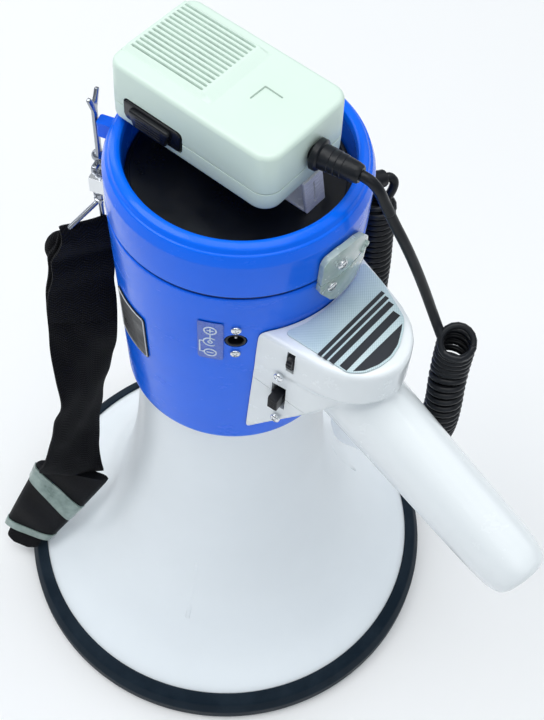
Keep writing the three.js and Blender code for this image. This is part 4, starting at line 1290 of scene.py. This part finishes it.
# webbing tip below the pad
tip_path = curve([polar(112, 232.4, 31), polar(116.5, 233, 23.5), polar(121.5, 234, 11.5)], 18)
tip_width = np.r_[np.full(14, 20.0), [19.6, 18.2, 15.5, 11.0]]
tip, uvs = ribbon(tip_path, np.array([outward(203)] * 18), tip_width, 2.6, 10)
piece("strap_webbing_tip", tip, WEBBING, sharp=60, uvs=uvs)

# =============================================================== hand microphone
MIC = shift(-8.85, 1.99, 0) @ turn("Z", 6)
MIC_LENGTH, MIC_WIDTH = 78.3, 47.5
MIC_LOW, MIC_SPLIT, MIC_TOP = 335.1, 344.0, 362.3
CORD_Y, CORD_Z = 1.3, 349.6
mic_outline = rounded(rect(-MIC_LENGTH / 2, -MIC_WIDTH / 2, MIC_LENGTH / 2, MIC_WIDTH / 2),
                      [6.5, 7.5, 7.5, 6.5], steps=8)
button_well = moved(prism(rounded(rect(-14.5, -5.1, 14.5, 5.1), 2.2, steps=4), -6, 6, 0, 0),
                    shift(-16.0, -MIC_WIDTH / 2, 343.8) @ turn("X", 90))
cord_bore = moved(lathe([(0, 0), (3.4, 0), (3.4, 20), (0, 20)], 32),
                  aim((MIC_LENGTH / 2 - 8, CORD_Y, CORD_Z), (1, 0, 0)))


def mic_casing(side, geometry, cutters):
    made = raw(f"mic_{side}_casing", geometry, MINT)
    carve(made, cutters)
    relocate(made, MIC)
    shade(made.data, 30)
    settle(made, f"mic_{side}_shell", "microphone")


mic_casing("front", prism(mic_outline, MIC_SPLIT + 0.15, MIC_TOP, 2.2, 0.25, steps=6,
                          draft=0.5), [button_well, cord_bore])
mic_casing("rear", prism(mic_outline, MIC_LOW, MIC_SPLIT - 0.15, 0.25, 2.2, steps=6),
           [button_well])

# raised grille with fourteen sound slots along X, sloping down to the smooth half
SLOT_PITCH, FIRST_SLOT_Y = 2.24, -12.9
SLOT_START, SLOT_STOP = -35.2, -1.0
GRILLE_RISE, SLOT_DEPTH = 1.6, 1.5


def clamp(value):
    return min(1, max(0, value))


def slot_distance(y):
    """Distance to the nearest slot line, infinite beyond the slots."""
    k = (y - FIRST_SLOT_Y) / SLOT_PITCH
    return abs(k - round(k)) * SLOT_PITCH if -0.4 < k < 13.4 else math.inf


def grille_height(x, y):
    height = (GRILLE_RISE * clamp((4.6 - x) / 4.4) * clamp((x + 37.6) / 0.9)
              * clamp((y + 15.8) / 2.0) * clamp((18.8 - y) / 1.5))
    distance = slot_distance(y)
    if SLOT_START < x < SLOT_STOP and distance < 0.5:
        end = min(1, (SLOT_STOP - x) / 0.5, (x - SLOT_START) / 0.5)
        height -= SLOT_DEPTH * end * min(1, (0.5 - distance) / 0.16)
    return height


grid_x = np.arange(-37.7, 5.1, 0.4)
grid_y = np.arange(-16.1, 19.1, 0.16)
rows, columns = len(grid_x), len(grid_y)
verts = [(x, y, MIC_TOP + 0.02 + grille_height(x, y)) for x in grid_x for y in grid_y]
cells = [[i * columns + j, (i + 1) * columns + j, (i + 1) * columns + j + 1, i * columns + j + 1]
         for i in range(rows - 1) for j in range(columns - 1)]
border = ([i * columns for i in range(rows)]
          + [(rows - 1) * columns + j for j in range(1, columns)]
          + [i * columns + columns - 1 for i in range(rows - 2, -1, -1)]
          + list(range(columns - 2, 0, -1)))
skirt = len(verts)
verts += [(verts[i][0], verts[i][1], MIC_TOP - 0.8) for i in border]
faces = list(cells)
for k in range(len(border)):
    j = (k + 1) % len(border)
    faces.append([border[j], border[k], skirt + k, skirt + j])
faces.append(list(range(skirt, len(verts))))
grille = piece("mic_grille_face", (np.array(verts), faces), MINT,
               body="microphone", sharp=42, place=MIC)
# the slot floors take the dark mint: painted shade in the slots
grille.data.materials.append(SLOT_PAINTED_SHADE)
for k, cell in enumerate(cells):
    x, y = verts[cell[0]][:2]
    height = sum(verts[i][2] for i in cell) / 4 - MIC_TOP
    if height < 0.72 and SLOT_START < x < -1.2 and slot_distance(y) < 0.55:
        grille.data.polygons[k].material_index = 1

# angled mark of two raised bars
mark = merge(moved(soft_box((0.55, 8.2, 0.5), edge=0.12, steps=2),
                   shift(13.4, 0.45, MIC_TOP) @ turn("Z", -2)),
             moved(soft_box((8.2, 0.55, 0.5), edge=0.12, steps=2),
                   shift(17.6, 4.35, MIC_TOP) @ turn("Z", -2)))
piece("mic_mark", mark, MARK, body="microphone", place=MIC)

# talk button: a base, a tapered rocker and four ribs
base = moved(prism(rounded(rect(-13.9, -4.6, 13.9, 4.6), 1.9), -2.5, 2.5, 0.5, 0.3, steps=3),
             shift(-16.0, -MIC_WIDTH / 2 + 1.9, 343.8) @ turn("X", 90))
rocker = moved(prism(rounded([(-7.6, -3.9), (8.2, -3.9), (10.6, 3.8), (-10.6, 3.8)], 1.4),
                     -1.6, 1.6, 0.9, 0.3),
               shift(-16.4, -MIC_WIDTH / 2 - 0.9, 343.2) @ turn("X", 90))
ribs = [soft_box((12.5, 0.5, 0.55), (-16.3, -MIC_WIDTH / 2 - 2.45, 341.1 + RIB_PITCH * i),
                 edge=0.18, steps=2) for i in range(4)]
piece("talk_button_rocker", merge(base, rocker, *ribs), SWITCH,
      "mic_talk_button", "talk_button", place=MIC)

# cord boot: flange and ribbed sleeve; (radius, distance along the cord)
profile = [(0, -4), (2.7, -4), (2.7, 1.0), (5.7, 1.0), (6.2, 1.5), (6.2, 3.4), (5.8, 3.9),
           (5.0, 4.1), (4.9, 5.6)]
for i in range(3):
    start, radius = 6.0 + i * 2.6, 4.85 - i * 0.16
    profile += [(radius, start), (radius, start + 1.8), (radius - 0.25, start + 2.0),
                (radius - 0.25, start + 2.35)]
profile += [(4.25, 14.2), (4.0, 17.6), (3.6, 19.4), (3.1, 20.0), (0, 20.0)]
boot_place = MIC @ aim((MIC_LENGTH / 2 - 0.1, CORD_Y, CORD_Z), outward(8))
piece("mic_cord_boot_sleeve", lathe(profile, 48), CORD, "mic_cord_boot",
      "microphone", sharp=38, place=boot_place)

# hanger stud and its clip: slotted leaning tongue, base plate, back wall and two rails
dress("mic_hanger_stud", CHROME, bevel=0.3)
tongue = raw("mic_hanger_clip_body",
             moved(prism([(40.9, PANEL_Z + 14.4), (42.3, PANEL_Z + 14.4), (45.0, PANEL_Z + 0.3),
                          (43.4, PANEL_Z + 0.3)], -5.6, 5.6, 0.35, 0.35, steps=2),
                   turn("X", 90)))
carve(tongue, [cuboid((8, 0.9, 9.5), (43, 0, PANEL_Z + 7.4))])
clip = merge(take(tongue),
             soft_box((20, 11.4, 1.2), (34.0, 0, PANEL_Z + 0.9), edge=0.3, corner=1.0),
             soft_box((1.2, 11.4, 14.0), (24.5, 0, PANEL_Z + 7.4), edge=0.3),
             *[soft_box((17.4, 1.4, 1.2), (33.0, y, PANEL_Z + 13.9), edge=0.3)
               for y in (-5.0, 5.0)])
piece("mic_hanger_clip_bracket", clip, BRACKET_PAINTED_SHINE, "mic_hanger_clip",
      "rear_cover", sharp=30, place=shift(-12.5, 5.0, 0) @ turn("Z", 6))

# =============================================================== cord
# straight lead from the microphone, in two parts that meet at the joint
LEAD = [(48.0, 12.0, 349.5), (50.1, 12.3, 349.5), (52.6, 13.2, 348.7), (55.6, 14.8, 345.2),
        (58.6, 16.5, 338.6), (62.4, 18.6, 330.0), (67.4, 21.2, 319.8), (71.9, 24.4, 307.9),
        (76.6, 28.2, 293.1), (80.7, 31.0, 280.5), (84.0, 31.4, 274.8), (87.6, 30.6, 271.6)]
LEAD_START, LEAD_JOINT, LEAD_END = (49.5, 12.2, 349.5), (60.6, 17.6, 334), (84.0, 31.4, 274.8)


def lead_part(name, path, replaced=None):
    made = raw(name, tube(path, 2.1, 20), CORD)
    shade(made.data, 50)
    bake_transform(made)
    label(made, replaced)


lead = curve(LEAD, 150)
joint = int(np.argmin(np.linalg.norm(lead - np.array(LEAD_JOINT), axis=1)))
lead_part("mic_lead_upper", lead[:joint + 1],
          "mic_lead")
lead_part("mic_lead_lower", lead[joint:])

# coiled cord hanging in a loop
COILED = [(94.6, 32.0, 272.6), (93.5, 33.9, 270.0), (93.4, 34.2, 264.0), (94.2, 33.0, 256.5),
          (96.3, 30, 249.0), (99.0, 27.4, 237.5), (99.2, 27.4, 221.3), (93.2, 33.0, 190.2),
          (81.2, 39.0, 159.2), (67.7, 44.0, 153.5), (56.2, 48.0, 163.8), (46.2, 51.5, 184.9),
          (37.7, 54.0, 203.1), (34.1, 52.9, 227.2), (31.3, 54.4, 250.5), (29.1, 55.6, 268.3),
          (27.1, 56.6, 284.0)]
HELIX_PITCH, HELIX_R, STEPS_PER_TURN = 3.15, 6.75, 18
path, _, normal, binormal = frames(curve(COILED, 1200))
stations = lengths(path)
total = stations[-1]
at = np.linspace(0, total, int(total / HELIX_PITCH * STEPS_PER_TURN))
path, normal, binormal = [sample(values, stations, at) for values in (path, normal, binormal)]
phase = (at / HELIX_PITCH * 2 * math.pi)[:, None]
# the turns close in over the last 3 mm and vary slightly in width
radii = HELIX_R * np.clip((total - at) / 3.0, 0.2, 1) * (1 + 0.02 * np.sin(at / 7.3))
helix = path + radii[:, None] * (np.cos(phase) * normal + np.sin(phase) * binormal)
piece("coiled_cord_helix", tube(helix, 1.42, 8), CORD, "coiled_cord", sharp=80)

# plug on the housing and the tail up to it
plug = lathe([(0, 48.4), (3.8, 48.4), (3.8, 53.0), (5.6, 53.0), (5.6, 58.8), (5.2, 59.4),
              (4.4, 59.8), (4.0, 61.0), (3.7, 65.2), (3.2, 66.0), (0, 66.0)], 40)
piece("cord_plug_body", plug, BLACK, "cord_plug",
      place=aim((0, 0, PLUG_Z), outward(PLUG_AZ)))
tail = curve([polar(64.5, PLUG_AZ, PLUG_Z), polar(67.5, 66.5, 292.4), polar(69.6, 65.6, 289.6),
              polar(67.2, 64.0, 284.6), (27.6, 57.0, 281.0)], 40)
piece("cord_tail", tube(tail, 2.0, 14), CORD)

# =============================================================== stage
shader = Shader("pale_floor")
FLOOR = shader.done(
    Base_Color=shader.blend(shader.noise(scale=1.2, detail=4), (0.90, 0.905, 0.91),
                            (0.93, 0.935, 0.94)),
    Roughness=0.85, Normal=shader.bump(shader.noise(scale=90), strength=0.02, depth=0.3))
REACH = 4000
floor = raw("floor", ([(x, y, 0) for x, y in rect(-REACH, -REACH, REACH, REACH)],
                      [(0, 1, 2, 3)]), FLOOR)
floor.location.z = -0.0004

scene = bpy.context.scene


def add_object(name, data):
    made = bpy.data.objects.new(name, data)
    scene.collection.objects.link(made)
    return made


# camera: axes and place in metres
lens = bpy.data.cameras.new("camera")
lens.sensor_width = 36
lens.lens = 60.545
lens.clip_start = 0.01
camera = add_object("camera", lens)
right = (0.699051, 0.713623, 0.045502)
up = (-0.616075, 0.568747, 0.544958)
backward = (0.363015, -0.408986, 0.837228)
view = Matrix((right, up, backward)).transposed().to_4x4()
view.translation = (0.223036, -0.223036, 0.671412)
camera.matrix_world = view
scene.camera = camera

# world: grey-blue below, rising to near white overhead
world = bpy.data.worlds.new("studio")
world.use_nodes = True
nodes, links = world.node_tree.nodes, world.node_tree.links
background = nodes["Background"]
direction = nodes.new("ShaderNodeTexCoord")
split = nodes.new("ShaderNodeSeparateXYZ")
sky = nodes.new("ShaderNodeValToRGB")
low, high = sky.color_ramp.elements
low.position = 0.0
low.color = (0.30, 0.36, 0.44, 1)
high.position = 0.9
high.color = (0.95, 0.98, 1.0, 1)
links.new(direction.outputs["Generated"], split.inputs[0])
links.new(split.outputs[2], sky.inputs[0])
links.new(sky.outputs[0], background.inputs[0])
background.inputs["Strength"].default_value = 0.60
scene.world = world


def area_light(name, location, size, power, color, height=None, target_z=0.2):
    """Area light aimed at the Z axis; `height` makes it a rectangle."""
    light = bpy.data.lights.new(name, "AREA")
    light.energy = power
    light.color = color
    light.size = size
    if height:
        light.shape = "RECTANGLE"
        light.size_y = height
    made = add_object(name, light)
    made.location = location
    aim_line = Vector((0, 0, target_z)) - Vector(location)
    made.rotation_euler = aim_line.to_track_quat("-Z", "Y").to_euler()


area_light("key", (-0.7, -0.8, 1.9), size=1.0, power=11.5, color=(1.0, 0.995, 0.98))
area_light("top", (0.1, 0.1, 2.3), size=1.4, power=15.5, color=(0.98, 1.0, 1.0))
area_light("left_strip", (-1.5, -0.1, 0.9), size=0.35, power=3.5, color=(0.95, 0.98, 1.0),
           height=1.4, target_z=0.25)
area_light("fill", (1.3, -0.6, 1.2), size=1.2, power=2.6, color=(0.93, 0.97, 1.0))
area_light("back", (0.4, 1.5, 1.5), size=1.4, power=4.5, color=(0.97, 0.99, 1.0))

scene.view_settings.view_transform = "Standard"
scene.view_settings.look = "None"
scene.view_settings.exposure = 0.0
scene.view_settings.gamma = 1.0

bpy.context.view_layer.update()
